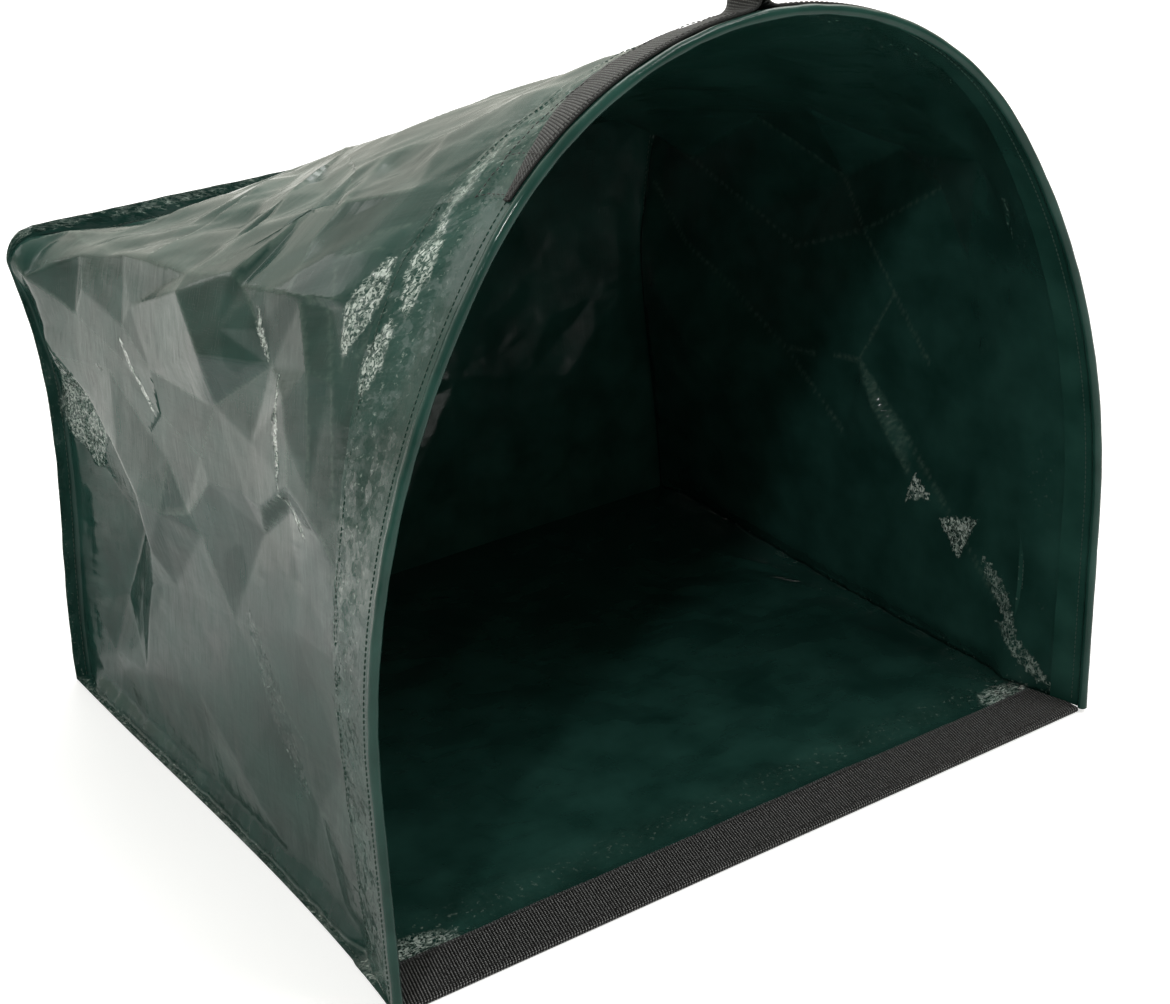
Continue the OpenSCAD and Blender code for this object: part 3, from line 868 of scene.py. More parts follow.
class SheetBuilder:
    """Builds the bag's sheets over its smooth form."""

    def __init__(self, size: BagSizes) -> None:
        self.size = size
        self.shape = WallShape(size)
        self.grid = SheetGrid(size)
        self.relief = WallRelief(size, self.shape)
        self.wave = FlangeWave()

    def wall_point(self, s: Array, y: Array, out: Array | float) -> Array:
        """Place at a height over the wall, with the relief of the hem alone."""
        height = self.relief.hem_relief(s, y) + out
        return self.shape.point(s, y) + self.shape.normal(s, y) * height[..., None]

    def wrap(self) -> bpy.types.Object:
        """Left side, top and right side in one sheet, with its seam flanges."""
        z = self.size
        s, y = np.meshgrid(self.grid.s, self.grid.y, indexing="ij")
        core = (slice(3, -3), slice(3, -3))
        crease = np.zeros_like(s)
        s[core], y[core], crease[core] = snapped(
            s[core], y[core], crease_lines(z.half_l), self.grid.row * 0.5
        )
        offset, height = self.relief.offset(s, y)
        points = self.shape.point(s, y) + offset
        points[..., 2] = np.maximum(points[..., 2], LOWEST)
        points[..., 0] += z.side(s) * self._foot_flare(s, y)
        points = np.concatenate([points, self._rear_flange(points)], 1)
        beyond = FLANGE_PITCH * np.arange(1, FLANGE_ROWS + 1)
        y = np.concatenate([y, y[:, -1:] + beyond], 1)
        s = np.pad(s, ((0, 0), (0, FLANGE_ROWS)), mode="edge")
        left, right = self._ground_flange(y[0], points[0], points[-1])
        points = np.concatenate([left, points, right], 0)
        n = len(left)
        low = np.repeat(GROUND_COLUMNS[:, :1], y.shape[1], 1)
        s = np.concatenate([low, s, 2 * z.half_l - low[::-1]], 0)
        y = np.pad(y, ((n, n), (0, 0)), mode="edge")
        masks = self._wear(s, y, height, crease, n)
        return grid_object("wrap_sheet", points, np.stack([s, y], -1), masks)

    def _foot_flare(self, s: Array, y: Array) -> Array:
        """How far the foot of each side turns out over its ground flange."""
        z = self.size
        along = smooth_step(y, z.hem_out_w, z.hem_out_w + 30)
        along = along * (1 - smooth_step(y, z.rear_y - 30, z.rear_y))
        return 0.5 * z.side_flange * (1 - smooth_step(z.from_foot(s), 0, 18)) * along

    def _rear_flange(self, points: Array) -> Array:
        """Rows that turn the wrap sheet out along the rear panel."""
        rear = self.size.bag_d / 2
        tip = self.shape.flange_edge(self.grid.s, rear - 1.1)
        start = points[:, -1].copy()
        start[:, 1] = rear - 1.6
        shares = np.linspace(0, 1, FLANGE_ROWS + 1)[1:]
        rows = start[:, None] + (tip - start)[:, None] * shares[None, :, None]
        rows[..., 1] += self.wave.relief(rows[..., 0], rows[..., 2]) * shares
        return rows

    def _ground_flange(
        self, y: Array, left: Array, right: Array
    ) -> tuple[Array, Array]:
        """Columns that turn the wrap sheet out along the ground, on both sides."""
        half = self.shape.floor_half(np.minimum(y, self.size.rear_y))
        share = GROUND_COLUMNS[:, 1:]
        made = []
        for foot, side in ((left, -1.0), (right, 1.0)):
            columns = np.repeat(foot[None], len(share), 0)
            columns[..., 0] += (side * half - foot[:, 0]) * share
            columns[..., 2] += (1.3 - foot[:, 2]) * np.minimum(share * 1.8, 1)
            made.append(columns)
        return made[0], made[1][::-1]

    def _wear(
        self, s: Array, y: Array, height: Array, crease: Array, n: int
    ) -> dict[str, Array]:
        """Where the wrap sheet is crinkled with painted glints, creased, and dimmed as
        painted shade.

        Args:
            s: Lengths along the hoop, flanges included.
            y: Depths, flanges included.
            height: How far the creased wall stands off the smooth one.
            crease: 1 where a point lies on a crease.
            n: Number of columns in each ground flange.

        Returns:
            Weights of each point by the name that the finish reads.
        """
        z = self.size
        far = z.from_foot(s)
        rng = np.random.default_rng(5)
        spots = rng.uniform(-30, 2 * z.half_l + 30, 900), rng.uniform(-20, 530, 900)
        blotch = Facets(np.stack(spots, -1), rng.uniform(0, 1, 900)).at(s, y)
        outside = np.where(s > z.half_l + 180, 0.4, 1.0)
        hem = np.exp(-(((y - 40) / 24) ** 2)) * 0.6 * outside
        rear = smooth_step(y, z.rear_y + 6, z.rear_y + 12)
        rear = rear * (0.4 + 0.9 * smooth_step(far, 430, 470))
        ground = np.exp(-far / 10) * 0.45
        # Crinkled places get real bumps, and the finish also paints pale glints on them
        crinkle_and_glint = np.clip((hem + rear + ground) * (0.25 + blotch), 0, 0.75)
        for patch in SPARKLES:
            place = 2 * z.half_l - s if patch.right else s
            crinkle_and_glint = np.maximum(crinkle_and_glint, patch.weight(place, y))
        bend = np.zeros_like(s)
        beside = height[:-2, 1:-1] + height[2:, 1:-1]
        beside = beside + height[1:-1, :-2] + height[1:-1, 2:]
        curve = np.abs(4 * blurred(height)[1:-1, 1:-1] - beside)
        inner = slice(n + 1, n + height.shape[0] - 1), slice(1, height.shape[1] - 1)
        bend[inner] = np.clip(curve / 2.2 + crease[1:-1, 1:-1] * 0.8, 0, 1)
        # Painted shade: the reflection is turned down on the lower part of each side
        # behind the hem, towards the rear of its upper part, and in the patches
        upper = smooth_step(far, 90, 330)
        low = 0.5 * (1 - upper) * smooth_step(y, 60, 140)
        low += 0.8 * upper * smooth_step(y, 110, 330) * (1 - smooth_step(far, 440, 470))
        painted_shade = np.maximum(low, 0.7 * sum(patch.weight(far, y) for patch in PAINTED_SHADE_PATCHES))
        return {"crinkle_and_glint": crinkle_and_glint, "bend": bend, "painted_shade": np.clip(painted_shade, 0, 1)}

    def hem_lift(self, s: Array, y: Array) -> Array:
        """How far the hem's outer leaf stands off the wall towards its edge."""
        loose = Crumple(cell=(26, 16), height=0.9, seed=42).relief(s, y)
        return np.abs(loose) * smooth_step(y, 16, 40)

    def hem(self) -> bpy.types.Object:
        """Strip folded round the rod: a leaf on each side of the wall and a bead."""
        z = self.size
        k = z.leaf_k + z.hem_t / 2
        r = z.tunnel_r + z.hem_t / 2
        a = math.asin(k / r)
        turns = np.linspace(a, 2 * math.pi - a, 15)
        inner = np.linspace(z.hem_in_w, z.panel_y, 9)
        outer = np.linspace(z.panel_y, z.hem_out_w, 22)
        y = np.concatenate([inner, r * np.cos(turns), outer])
        out = np.concatenate([0 * inner - k, -r * np.sin(turns), 0 * outer + k])
        s, yy = np.meshgrid(self.grid.s, y, indexing="ij")
        outs = np.broadcast_to(out, s.shape)
        clipped = np.maximum(yy, 0)
        # The bead is rolled unevenly, with a new thickness every 11 mm
        knots = np.arange(0, 2 * z.half_l + 20, 11.0)
        lumps = np.random.default_rng(41).uniform(-0.28, 0.28, len(knots))
        lump = np.interp(self.grid.s, knots, lumps)
        bead = np.exp(-((yy / 5.0) ** 2)) * lump[:, None] * np.sign(outs)
        lift = self.hem_lift(s, clipped) * (outs > 0)
        points = self.wall_point(s, clipped, outs + bead + lift)
        points[..., 1] += np.minimum(yy, 0)
        length = run_along(np.stack([y, out], -1))
        uv = np.stack([s, np.broadcast_to(length, s.shape)], -1)
        # The hem's crinkles also carry painted glints in the finish
        crinkle_and_glint = 0.15 + 0.3 * smooth_step(yy, 8, 30)
        for patch in SPARKLES:
            if isinstance(patch, Sparkle) and not patch.right:
                crinkle_and_glint = np.maximum(crinkle_and_glint, patch.weight(s, clipped))
        crinkle_and_glint = crinkle_and_glint * (outs > 0)
        masks = {"crinkle_and_glint": crinkle_and_glint, "bend": crinkle_and_glint * 0.2}
        return grid_object("hem_strip", points, uv, masks)

    def floor(self) -> bpy.types.Object:
        """Ground sheet, stepped up at the front into the lip tape."""
        z = self.size
        front, back = z.gap + z.lip_t + 0.4, z.bag_d - z.sheet_t / 2
        y = front + (back - front) * np.linspace(0, 1, 190) ** 1.1
        tt, yy = np.meshgrid(np.linspace(-1, 1, 210), y, indexing="ij")
        half = np.minimum(self.shape.floor_half(y), z.between_bead + y / 4)
        x = tt * (half - 0.3)
        lip_z, ground_z = z.lip_t + z.gap + z.sheet_t / 2, z.sheet_t / 2
        step = smooth_step(yy, z.lip_w + 0.6, z.lip_w + 9)
        inside = smooth_step(self.shape.foot_half(yy) - np.abs(x), 0, 30)
        rise = smooth_step(yy, z.lip_w + 6, z.lip_w + 40) * inside
        rise = rise * smooth_step(z.bag_d - yy, 0, 30)
        lumps = sum(np.abs(c.relief(x + CRUMPLE_SHIFT, yy)) for c in FLOOR_CRUMPLES)
        zz = lip_z + (ground_z - lip_z) * step + 0.8 * lumps * rise
        points = np.stack([x, yy - z.bag_d / 2, zz], -1)
        wide = np.where(x < 0, 34.0, 18.0)
        corner = np.exp(-(((np.abs(x) - 246) / wide) ** 2) - ((yy - 46) / 12) ** 2)
        corner = np.minimum(corner * 2.2, 1.0)
        edge = np.exp(-(((yy - 62) / 16) ** 2)) * 0.3
        # The crinkled corners and edge also get painted glints in the finish
        masks = {"crinkle_and_glint": np.clip(corner + edge, 0, 1), "bend": edge * 0.4}
        uv = np.stack([x, yy], -1)
        return grid_object("floor_sheet", points, uv, masks, flip=True)

    def rear(self) -> bpy.types.Object:
        """Rear sheet, out to the edge of its seam flanges."""
        z = self.size
        zz = np.linspace(0.3, z.rear_h, 150)
        straight = z.rear_h - z.rear_r
        over = np.clip((zz - straight) / z.rear_r, 0, 1)
        half = np.where(
            zz < straight,
            z.half_w - self.shape.rear_draw(zz / straight),
            z.half_w - z.rear_r + z.rear_r * np.sqrt(1 - over**2),
        )
        tt, zg = np.meshgrid(np.linspace(-1, 1, 230), zz, indexing="ij")
        x = tt * half
        beside = half - z.side_flange - np.abs(x)
        inside = np.minimum(beside, z.rear_h - z.top_flange - zg)
        middle = smooth_step(np.minimum(inside, zg), 0, 28)
        crumple = sum(c.relief(x + CRUMPLE_SHIFT, zg) for c in REAR_CRUMPLES)
        share = np.clip(-inside / z.side_flange, 0, 1)
        wave = self.wave.relief(x, zg) * share
        y = z.bag_d / 2 - 0.7 + wave + np.minimum(crumple, 1.5) * middle
        # The crinkled flanges also get painted glints in the finish
        crinkle_and_glint = 0.8 * smooth_step(-inside, 2, 12)
        masks = {"crinkle_and_glint": crinkle_and_glint, "bend": crinkle_and_glint * 0.3}
        points, uv = np.stack([x, y, zg], -1), np.stack([x, zg], -1)
        return grid_object("rear_sheet", points, uv, masks)

    def lip(self) -> bpy.types.Object:
        """Ribbed tape folded over the ground sheet's front edge."""
        z = self.size
        outer = rounded_fold(z.lip_w, z.lip_h, z.lip_t)
        steps = np.linspace(-1, 1, 1100), np.arange(len(outer))
        tt, k = np.meshgrid(*steps, indexing="ij")
        yy, zz = outer[k, 0], outer[k, 1]
        clear = z.leaf_k + z.gap + 2 * z.hem_t
        y_list = np.linspace(0, z.lip_w, 9)
        widths = np.minimum(z.between_bead, self.shape.foot_half(y_list) - clear)
        x = tt * np.interp(yy, y_list, widths)
        run = run_along(outer)
        rib = np.abs(np.sin(math.pi * (x / RIB + run[k] * RIB_LEAN))) ** 0.7
        skew = 0.4 * np.sin(x / 37.0) + 0.25 * np.sin(x / 13.0 + 1.0)
        edge = smooth_step(z.lip_w - yy, 0, 1.6) * (zz > 0.35)
        yy = yy + skew * smooth_step(yy, 20, 40)
        zz = zz + outline_normals(outer)[k][..., 1] * (rib * 0.26 - 0.2) * edge
        points = np.stack([x, yy - z.bag_d / 2, np.maximum(zz, 0.05)], -1)
        uv = np.stack([x, run[k]], -1)
        return grid_object("lip_webbing", points, uv, closed=True)

    def strap(self) -> bpy.types.Object:
        """Webbing handle in one strip: a tail, the loop and the other tail."""
        z = self.size
        mid = z.strap_k + z.strap_t / 2
        across = np.linspace(0, z.strap_w, 9)
        crown = np.full(2, z.half_l)
        base, far = self.wall_point(crown, z.strap_y + across[[0, -1]], mid)
        width = (far - base) / np.linalg.norm(far - base)
        up = np.cross(np.array([1.0, 0, 0]), width)
        tail_s = np.linspace(z.tail_s, z.half_l - z.tail_gap - 2, 130)
        ss, yy = np.meshgrid(tail_s, across, indexing="ij")
        # The end is cut on a slant, to a point beside the bead
        slant = 0.12 + 0.88 * smooth_step(ss, z.tail_s - 10, z.tail_s + 95)
        tail = self.wall_point(ss, z.strap_y + yy * slant, mid)
        sideways = np.array([1.0, 0, 0])
        plane = self._loop_path() @ np.stack([sideways, up])
        loop = base + plane[:, None] + across[:, None] * width
        centre = np.concatenate([tail, loop, tail[::-1] * MIRROR])
        normal = np.cross(*np.gradient(centre, axis=(0, 1)))
        normal /= np.linalg.norm(normal, axis=-1, keepdims=True)
        length = run_along(centre[:, len(across) // 2])
        # The inner face has its own place on the flat webbing, 50 mm beside the outer
        faces = np.stack([across, across + 50])
        turns = length[:, None] / RIB + faces[:, None] * RIB_LEAN
        thick = z.strap_t / 2 - 0.05 + 0.09 * np.abs(np.sin(math.pi * turns))
        outer, inner = centre + np.array([1, -1])[:, None, None, None] * (
            normal * thick[..., None]
        )
        ring = np.concatenate([outer, inner[:, ::-1]], 1)
        ring_v = np.concatenate([faces[0], faces[1, ::-1]])
        uv = np.stack(np.meshgrid(length, ring_v, indexing="ij"), -1)
        log.info("handle webbing is %.0f mm long", length[-1])
        return grid_object("handle_webbing", ring, uv, closed=True)

    def _loop_path(self) -> Array:
        """Middle line of the loop in its own plane: sideways and up, in millimetres."""
        z = self.size
        r, half = z.loop_r + z.strap_t / 2, z.strap_t / 2
        lean = math.radians(z.loop_angle)
        apex = z.stem_h - half / math.tan(lean)
        centre = apex + r / math.sin(lean) + half / math.sin(lean) * 0.5
        turns = np.linspace(math.pi + lean, -lean, 60)
        arc = np.stack([r * np.cos(turns), centre + r * np.sin(turns)], -1)
        stem = np.array(
            [
                (-z.tail_gap, 0.0), (-8.0, 0.35), (-4.2, 1.9), (-1.9, 4.8),
                (-0.95, 8.5), (-0.85, 12.5), (-1.6, z.stem_h + 1.5),
                (-5.2, z.stem_h + 9.5), (-14.0, z.stem_h + 27.5),
            ]
        )
        half_path = np.concatenate([stem, arc[:30]])
        path = np.concatenate([half_path, half_path[::-1] * MIRROR[:2]])
        apart = np.diff(run_along(path), prepend=-1.0) > 0.2
        return resampled(smoothed(resampled(path[apart], 1.2), 3), 0.85)


def rounded_fold(width: float, height: float, t: float) -> Array:
    """Outline (y, z) of a tape folded into a U that is open at the rear.

    Args:
        width: Width of the tape on each side of the fold.
        height: Height over both layers.
        t: Thickness of the tape.
    """
    r, ri = height / 2, height / 2 - t
    turns = np.linspace(-math.pi / 2, -3 * math.pi / 2, 9)
    flat = np.linspace(width, r, 12)
    lower = np.stack([flat, np.zeros(12)], -1)
    bend = np.stack([r + r * np.cos(turns), r + r * np.sin(turns)], -1)
    upper = np.stack([flat[::-1], np.full(12, height)], -1)
    inner = np.stack([r + ri * np.cos(turns), r + ri * np.sin(turns)], -1)[::-1]
    ends = [(width, height - t)], [(width, t)]
    return np.concatenate([lower, bend[1:-1], upper, ends[0], inner, ends[1]])


def outline_normals(outline: Array) -> Array:
    """Unit normals of a closed outline, pointing outwards."""
    ahead = np.roll(outline, -1, 0) - np.roll(outline, 1, 0)
    n = np.stack([-ahead[:, 1], ahead[:, 0]], -1)
    return n / np.maximum(np.linalg.norm(n, axis=1, keepdims=True), 1e-9)


def resampled(path: Array, step: float) -> Array:
    """A path's points again, evenly spaced."""
    run = run_along(path)
    even = np.linspace(0, run[-1], max(int(run[-1] / step), 4))
    return np.stack([np.interp(even, run, part) for part in path.T], -1)


def smoothed(path: Array, rounds: int) -> Array:
    """A path with its corners rounded off and its ends kept."""
    for _ in range(rounds):
        middle = (path[:-2] + 2 * path[1:-1] + path[2:]) / 4
        path = np.concatenate([path[:1], middle, path[-1:]])
    return path


@dataclass(frozen=True)
class Sparkle:
    """A patch of the wall along a line, widest at its middle.

    Attributes:
        start: One end (s, y) of the patch's middle line.
        end: The other end.
        width: Half width of the patch.
        right: Whether it is on the right side, with its place given as on the left.
        strength: Weight of its middle.
    """

    start: tuple[float, float]
    end: tuple[float, float]
    width: float
    right: bool = False
    strength: float = 1.0

    def weight(self, s: Array, y: Array) -> Array:
        ends = np.array(self.start), np.array(self.end)
        _, _, away, t = nearest_on(*ends, s, y)
        width = self.width * (0.35 + 0.75 * np.sin(math.pi * t))
        return self.strength * (1.0 - smooth_step(away, width * 0.8, width * 1.2))


@dataclass(frozen=True)
class Glint:
    """A patch of the wall with straight sides, between folds.

    Attributes:
        corners: Its corners (s, y) in order, with the places of the right side given
            as on the left.
        soft: Half width of its edge.
    """

    corners: tuple[tuple[float, float], ...]
    right: bool = True
    soft: float = 0.8
    strength: float = 1.0

    def weight(self, s: Array, y: Array) -> Array:
        corners = np.array(self.corners)
        middle = corners.mean(0)
        inside = np.full(s.shape, np.inf)
        for a, b in zip(corners, np.roll(corners, -1, 0)):
            across = np.array([a[1] - b[1], b[0] - a[0]]) / np.hypot(*(b - a))
            across *= np.sign((middle - a) @ across)
            away = (s - a[0]) * across[0] + (y - a[1]) * across[1]
            inside = np.minimum(inside, away)
        return self.strength * smooth_step(inside, -self.soft, self.soft)


# Patches of the sides where the coating is finely crinkled, with painted glints on it
SPARKLES = (
    Sparkle((458, 62), (402, 72), 9),
    Sparkle((416, 48), (374, 54), 7),
    Sparkle((394, 125), (302, 125), 3),
    Sparkle((298, 128), (273, 104), 4),
    Sparkle((390, 338), (334, 300), 3),
    Sparkle((335, 462), (250, 450), 36, strength=0.85),
    Sparkle((474, 44), (420, 40), 7),
    Sparkle((530, 48), (476, 46), 5, strength=0.8),
    Sparkle((445, 150), (405, 140), 3),
    Sparkle((190, 190), (80, 130), 12, strength=0.45),
    Sparkle((88, 92), (40, 56), 8, right=True, strength=0.8),
    Sparkle((44, 74), (6, 26), 8, right=True, strength=0.8),
    Glint(((138, 164), (109, 173), (120, 144))),
    Glint(((108, 139), (119, 98), (77, 116))),
)
# Patches of the sides and top where the reflection is turned down, as painted shade
PAINTED_SHADE_PATCHES = (
    Sparkle((345, 448), (235, 400), 22),
    Sparkle((478, 405), (518, 276), 30, strength=1.3),
    Glint(((262, 372), (262, 489), (16, 489), (70, 400), (150, 336), (240, 338)),
          soft=8.0, strength=1.35),
    Sparkle((452, 150), (398, 170), 20),
    Sparkle((236, 200), (200, 215), 16),
)


# --- Finishes ---


def linear(colour: str) -> tuple[float, float, float, float]:
    """An sRGB colour such as #1a2b3c as linear RGBA."""
    parts = [int(colour[i : i + 2], 16) / 255 for i in (1, 3, 5)]
    return (
        *(c / 12.92 if c <= 0.04045 else ((c + 0.055) / 1.055) ** 2.4 for c in parts),
        1.0,
    )


class Graph:
    """Adds nodes to a node tree and joins them."""

    def __init__(self, tree: bpy.types.NodeTree) -> None:
        self.tree = tree
        tree.nodes.clear()

    def add(
        self, kind: str, inputs: dict[str | int, Any] | None = None, **settings: Any
    ) -> bpy.types.Node:
        """Add a node.

        Args:
            kind: Blender's name of the node's type.
            inputs: A value, or a socket to join, for each input by name or number.
            settings: Properties of the node itself.

        Returns:
            The new node.
        """
        node = self.tree.nodes.new(kind)
        for key, value in settings.items():
            setattr(node, key, value)
        for key, value in (inputs or {}).items():
            if isinstance(value, bpy.types.NodeSocket):
                self.tree.links.new(value, node.inputs[key])
            else:
                node.inputs[key].default_value = value
        return node

    def first(self, kind: str, inputs: dict | None = None, **settings: Any) -> Any:
        """First output of a new node."""
        return self.add(kind, inputs, **settings).outputs[0]

    def math(self, operation: str, *values: Any) -> Any:
        """Result of a Math node."""
        inputs = dict(enumerate(values))
        return self.first("ShaderNodeMath", inputs, operation=operation)

    def vector(self, operation: str, a: Any, b: Any, result: str = "Vector") -> Any:
        """Result of a Vector Math node."""
        node = self.add("ShaderNodeVectorMath", {0: a, 1: b}, operation=operation)
        return node.outputs[result]

    def scaled(self, vector: Any, scale: tuple[float, float, float]) -> Any:
        """A vector times a scale along each axis."""
        return self.vector("MULTIPLY", vector, scale)

    def parts(self, vector: Any) -> Any:
        """The three numbers of a vector."""
        return self.add("ShaderNodeSeparateXYZ", {0: vector}).outputs

    def place(self, kind: str = "Object") -> Any:
        """Place of a point, as the Texture Coordinate node gives it."""
        return self.add("ShaderNodeTexCoord").outputs[kind]

    def flat_place(self) -> Any:
        """Place of a point on the flat sheet, in metres."""
        return self.first("ShaderNodeUVMap", uv_map="Sheet")

    def mask(self, name: str) -> Any:
        """Named weight of a point."""
        return self.add("ShaderNodeAttribute", attribute_name=name).outputs["Fac"]

    def cells(self, vector: Any, scale: float, **settings: Any) -> Any:
        """Outputs of a Voronoi texture with cells about 1 / scale wide."""
        return self.add(
            "ShaderNodeTexVoronoi", {"Vector": vector, "Scale": scale}, **settings
        ).outputs

    def noise(self, vector: Any, scale: float, detail: float = 2.0) -> Any:
        """Noise with cells about 1 / scale wide, in the units of the vector."""
        inputs = {"Vector": vector, "Scale": scale, "Detail": detail}
        return self.first("ShaderNodeTexNoise", inputs)

    def ramp(self, value: Any, low: float, high: float, a: Any, b: Any) -> Any:
        """A value taken from the range low..high to a..b, and held at its ends."""
        limits = {"Value": value, 1: low, 2: high, 3: a, 4: b}
        return self.first("ShaderNodeMapRange", limits, clamp=True)

    def mix(self, share: Any, a: Any, b: Any) -> Any:
        """A colour between two colours, each a socket or a name such as #1a2b3c."""
        a, b = (linear(c) if isinstance(c, str) else c for c in (a, b))
        colours = {0: share, 6: a, 7: b}
        return self.add("ShaderNodeMix", colours, data_type="RGBA").outputs[2]

    def mix_value(self, share: Any, a: Any, b: Any) -> Any:
        """Plain numbers mixed by a share."""
        return self.first("ShaderNodeMix", {0: share, 2: a, 3: b})

    def bump(
        self, height: Any, distance: float, strength: Any, normal: Any = None
    ) -> Any:
        """A normal tilted by a height in units of distance, in metres."""
        inputs = {"Height": height, "Distance": distance, "Strength": strength}
        if normal is not None:
            inputs["Normal"] = normal
        return self.first("ShaderNodeBump", inputs)

    def paint(self, colour: Any, rough: Any, normal: Any, **others: Any) -> Any:
        """A Principled shader, with more inputs by name and "_" for a space."""
        inputs = {"Base Color": colour, "Roughness": rough, "Normal": normal}
        inputs.update((name.replace("_", " "), v) for name, v in others.items())
        return self.add("ShaderNodeBsdfPrincipled", inputs)

    def rays(self) -> tuple[Any, Any]:
        """Whether a ray comes from the camera, and whether off a shiny surface."""
        path = self.add("ShaderNodeLightPath").outputs
        shiny = path["Is Glossy Ray"], path["Is Transmission Ray"]
        return path["Is Camera Ray"], self.math("MAXIMUM", *shiny)


class Finish:
    """A procedural finish that makes its own Blender material."""

    name: str

    def build(self) -> bpy.types.Material:
        """Make the material and its nodes."""
        material = bpy.data.materials.new(self.name)
        material.use_nodes = True
        graph = Graph(material.node_tree)
        shader = self.surface(graph)
        graph.add("ShaderNodeOutputMaterial", {"Surface": shader.outputs[0]})
        return material

    def surface(self, graph: Graph) -> bpy.types.Node:
        """Add the nodes of the surface and return its shader."""
        raise NotImplementedError


@dataclass(frozen=True)
class WovenSheet(Finish):
    """Woven plastic tapes under a glossy coating, crinkled where it is sewn."""

    name: str = "Coated woven sheet"
    deep: str = "#15312b"
    pale: str = "#22433c"
    worn: str = "#50645a"
    # The next two colours paint pale glints: lines along tiny creases and small flakes
    crease: str = "#a9b8ae"
    glint_flake: str = "#c3cec6"
    tape: float = 0.0022
    coat: float = 0.08
    ior: float = 1.4

    def surface(self, graph: Graph) -> bpy.types.Node:
        uv = graph.flat_place()
        crinkle_and_glint, bend, painted_shade = (graph.mask(m) for m in ("crinkle_and_glint", "bend", "painted_shade"))

        # Plain weave of flat tapes, one tape every 2.2 mm, each tilted its own way
        weave = graph.math("ADD", self._tapes(graph, uv, 0), self._tapes(graph, uv, 1))

        # Crinkles: flat facets about 3 and 8 mm wide, each tilted its own way
        warped = graph.add("ShaderNodeTexNoise", {"Vector": uv, "Scale": 160.0})
        shift = graph.scaled(warped.outputs["Color"], (0.004, 0.004, 0.0))
        bent = graph.vector("ADD", shift, uv)
        fine = self._tilted_cells(graph, bent, 330.0)
        broad = self._tilted_cells(graph, bent, 130.0)
        film = graph.noise(uv, 45.0, 3.0)
        normal = graph.bump(film, 0.0005, 0.3)
        normal = graph.bump(weave, 0.0004, 0.45, normal)
        for cells, tall, share in ((broad, 0.0045, 0.65), (fine, 0.0022, 0.5)):
            strength = graph.math("MULTIPLY", crinkle_and_glint, share)
            normal = graph.bump(cells, tall, strength, normal)

        blotch = graph.ramp(graph.noise(uv, 22.0, 4.0), 0.35, 0.7, 0.0, 1.0)
        colour = graph.mix(blotch, self.deep, self.pale)
        patchy = graph.ramp(graph.noise(uv, 260.0), 0.35, 0.75, 0.1, 0.7)
        colour = graph.mix(graph.math("MULTIPLY", bend, patchy), colour, self.worn)
        # Painted glints: pale lines about 0.5 mm wide along short sharp creases, where
        # the crinkled coating would catch the light
        lines = graph.math(
            "MAXIMUM",
            self._creases(graph, bent, 210.0, 0.06),
            self._creases(graph, bent, 420.0, 0.12),
        )
        broken = graph.noise(uv, 240.0, 3.0)
        few = graph.ramp(broken, 0.6, 0.68, 0.0, 0.9)
        many = graph.ramp(broken, 0.42, 0.6, 0.1, 1.0)
        here = graph.mix_value(graph.ramp(crinkle_and_glint, 0.6, 1.0, 0.0, 1.0), few, many)
        shown = graph.ramp(crinkle_and_glint, 0.15, 0.7, 0.0, 0.8)
        lines = graph.math("MULTIPLY", graph.math("MULTIPLY", lines, here), shown)
        colour = graph.mix(lines, colour, self.crease)
        # Painted glints: flakes about 2 by 1 mm of the most crinkled coating are
        # painted pale, as if they faced the light
        cells = graph.cells(graph.scaled(bent, (1.0, 1.7, 1.0)), 520.0)
        chance = graph.parts(cells["Color"])["X"]
        painted_glints = graph.math(
            "MULTIPLY",
            graph.ramp(chance, 0.68, 0.86, 0.0, 0.9),
            graph.ramp(crinkle_and_glint, 0.7, 1.0, 0.0, 1.0),
        )
        # Painted shade: where the shade mask is high, the specular level drops from 0.5
        # to 0.12
        return graph.paint(
            graph.mix(painted_glints, colour, self.glint_flake),
            graph.ramp(graph.noise(uv, 60.0, 4.0), 0.3, 0.75, 0.12, 0.26),
            normal,
            IOR=self.ior,
            Specular_IOR_Level=graph.ramp(painted_shade, 0.0, 1.0, 0.5, 0.12),
            Coat_Weight=graph.ramp(crinkle_and_glint, 0.5, 1.0, self.coat, 0.6),
            Coat_Roughness=0.12,
            Coat_IOR=1.5,
            Coat_Normal=normal,
        )

    @staticmethod
    def _creases(graph: Graph, vector: Any, scale: float, width: float) -> Any:
        """Thin lines between cells: 1 on a line and 0 off it."""
        away = graph.cells(vector, scale, feature="DISTANCE_TO_EDGE")["Distance"]
        return graph.ramp(away, width * 0.5, width, 1.0, 0.0)

    def _tapes(self, graph: Graph, uv: Any, axis: int) -> Any:
        """Height of flat tapes side by side, each with its own slowly changing tilt."""
        place = graph.parts(graph.scaled(uv, (1 / self.tape,) * 3))
        number = graph.math("FLOOR", place[axis])
        share = graph.math("SUBTRACT", graph.math("SUBTRACT", place[axis], number), 0.5)
        # The tilt changes over about 8 tape widths
        run = graph.math("MULTIPLY", place[1 - axis], 0.12)
        own = graph.math("MULTIPLY", number, 5.17)
        spot = graph.first("ShaderNodeCombineXYZ", {0: own, 1: run, 2: 3.3 * axis})
        tilt = graph.math("SUBTRACT", graph.noise(spot, 1.0, 0.0), 0.5)
        return graph.math("MULTIPLY", share, tilt)

    @staticmethod
    def _tilted_cells(graph: Graph, vector: Any, scale: float) -> Any:
        """Height of cells that each slope their own way."""
        cells = graph.cells(vector, scale)
        across = graph.vector("SUBTRACT", vector, cells["Position"])
        way = graph.vector("SUBTRACT", cells["Color"], (0.5, 0.5, 0.5))
        steep = graph.scaled(across, (scale, scale, 0.0))
        return graph.vector("DOT_PRODUCT", steep, way, "Value")


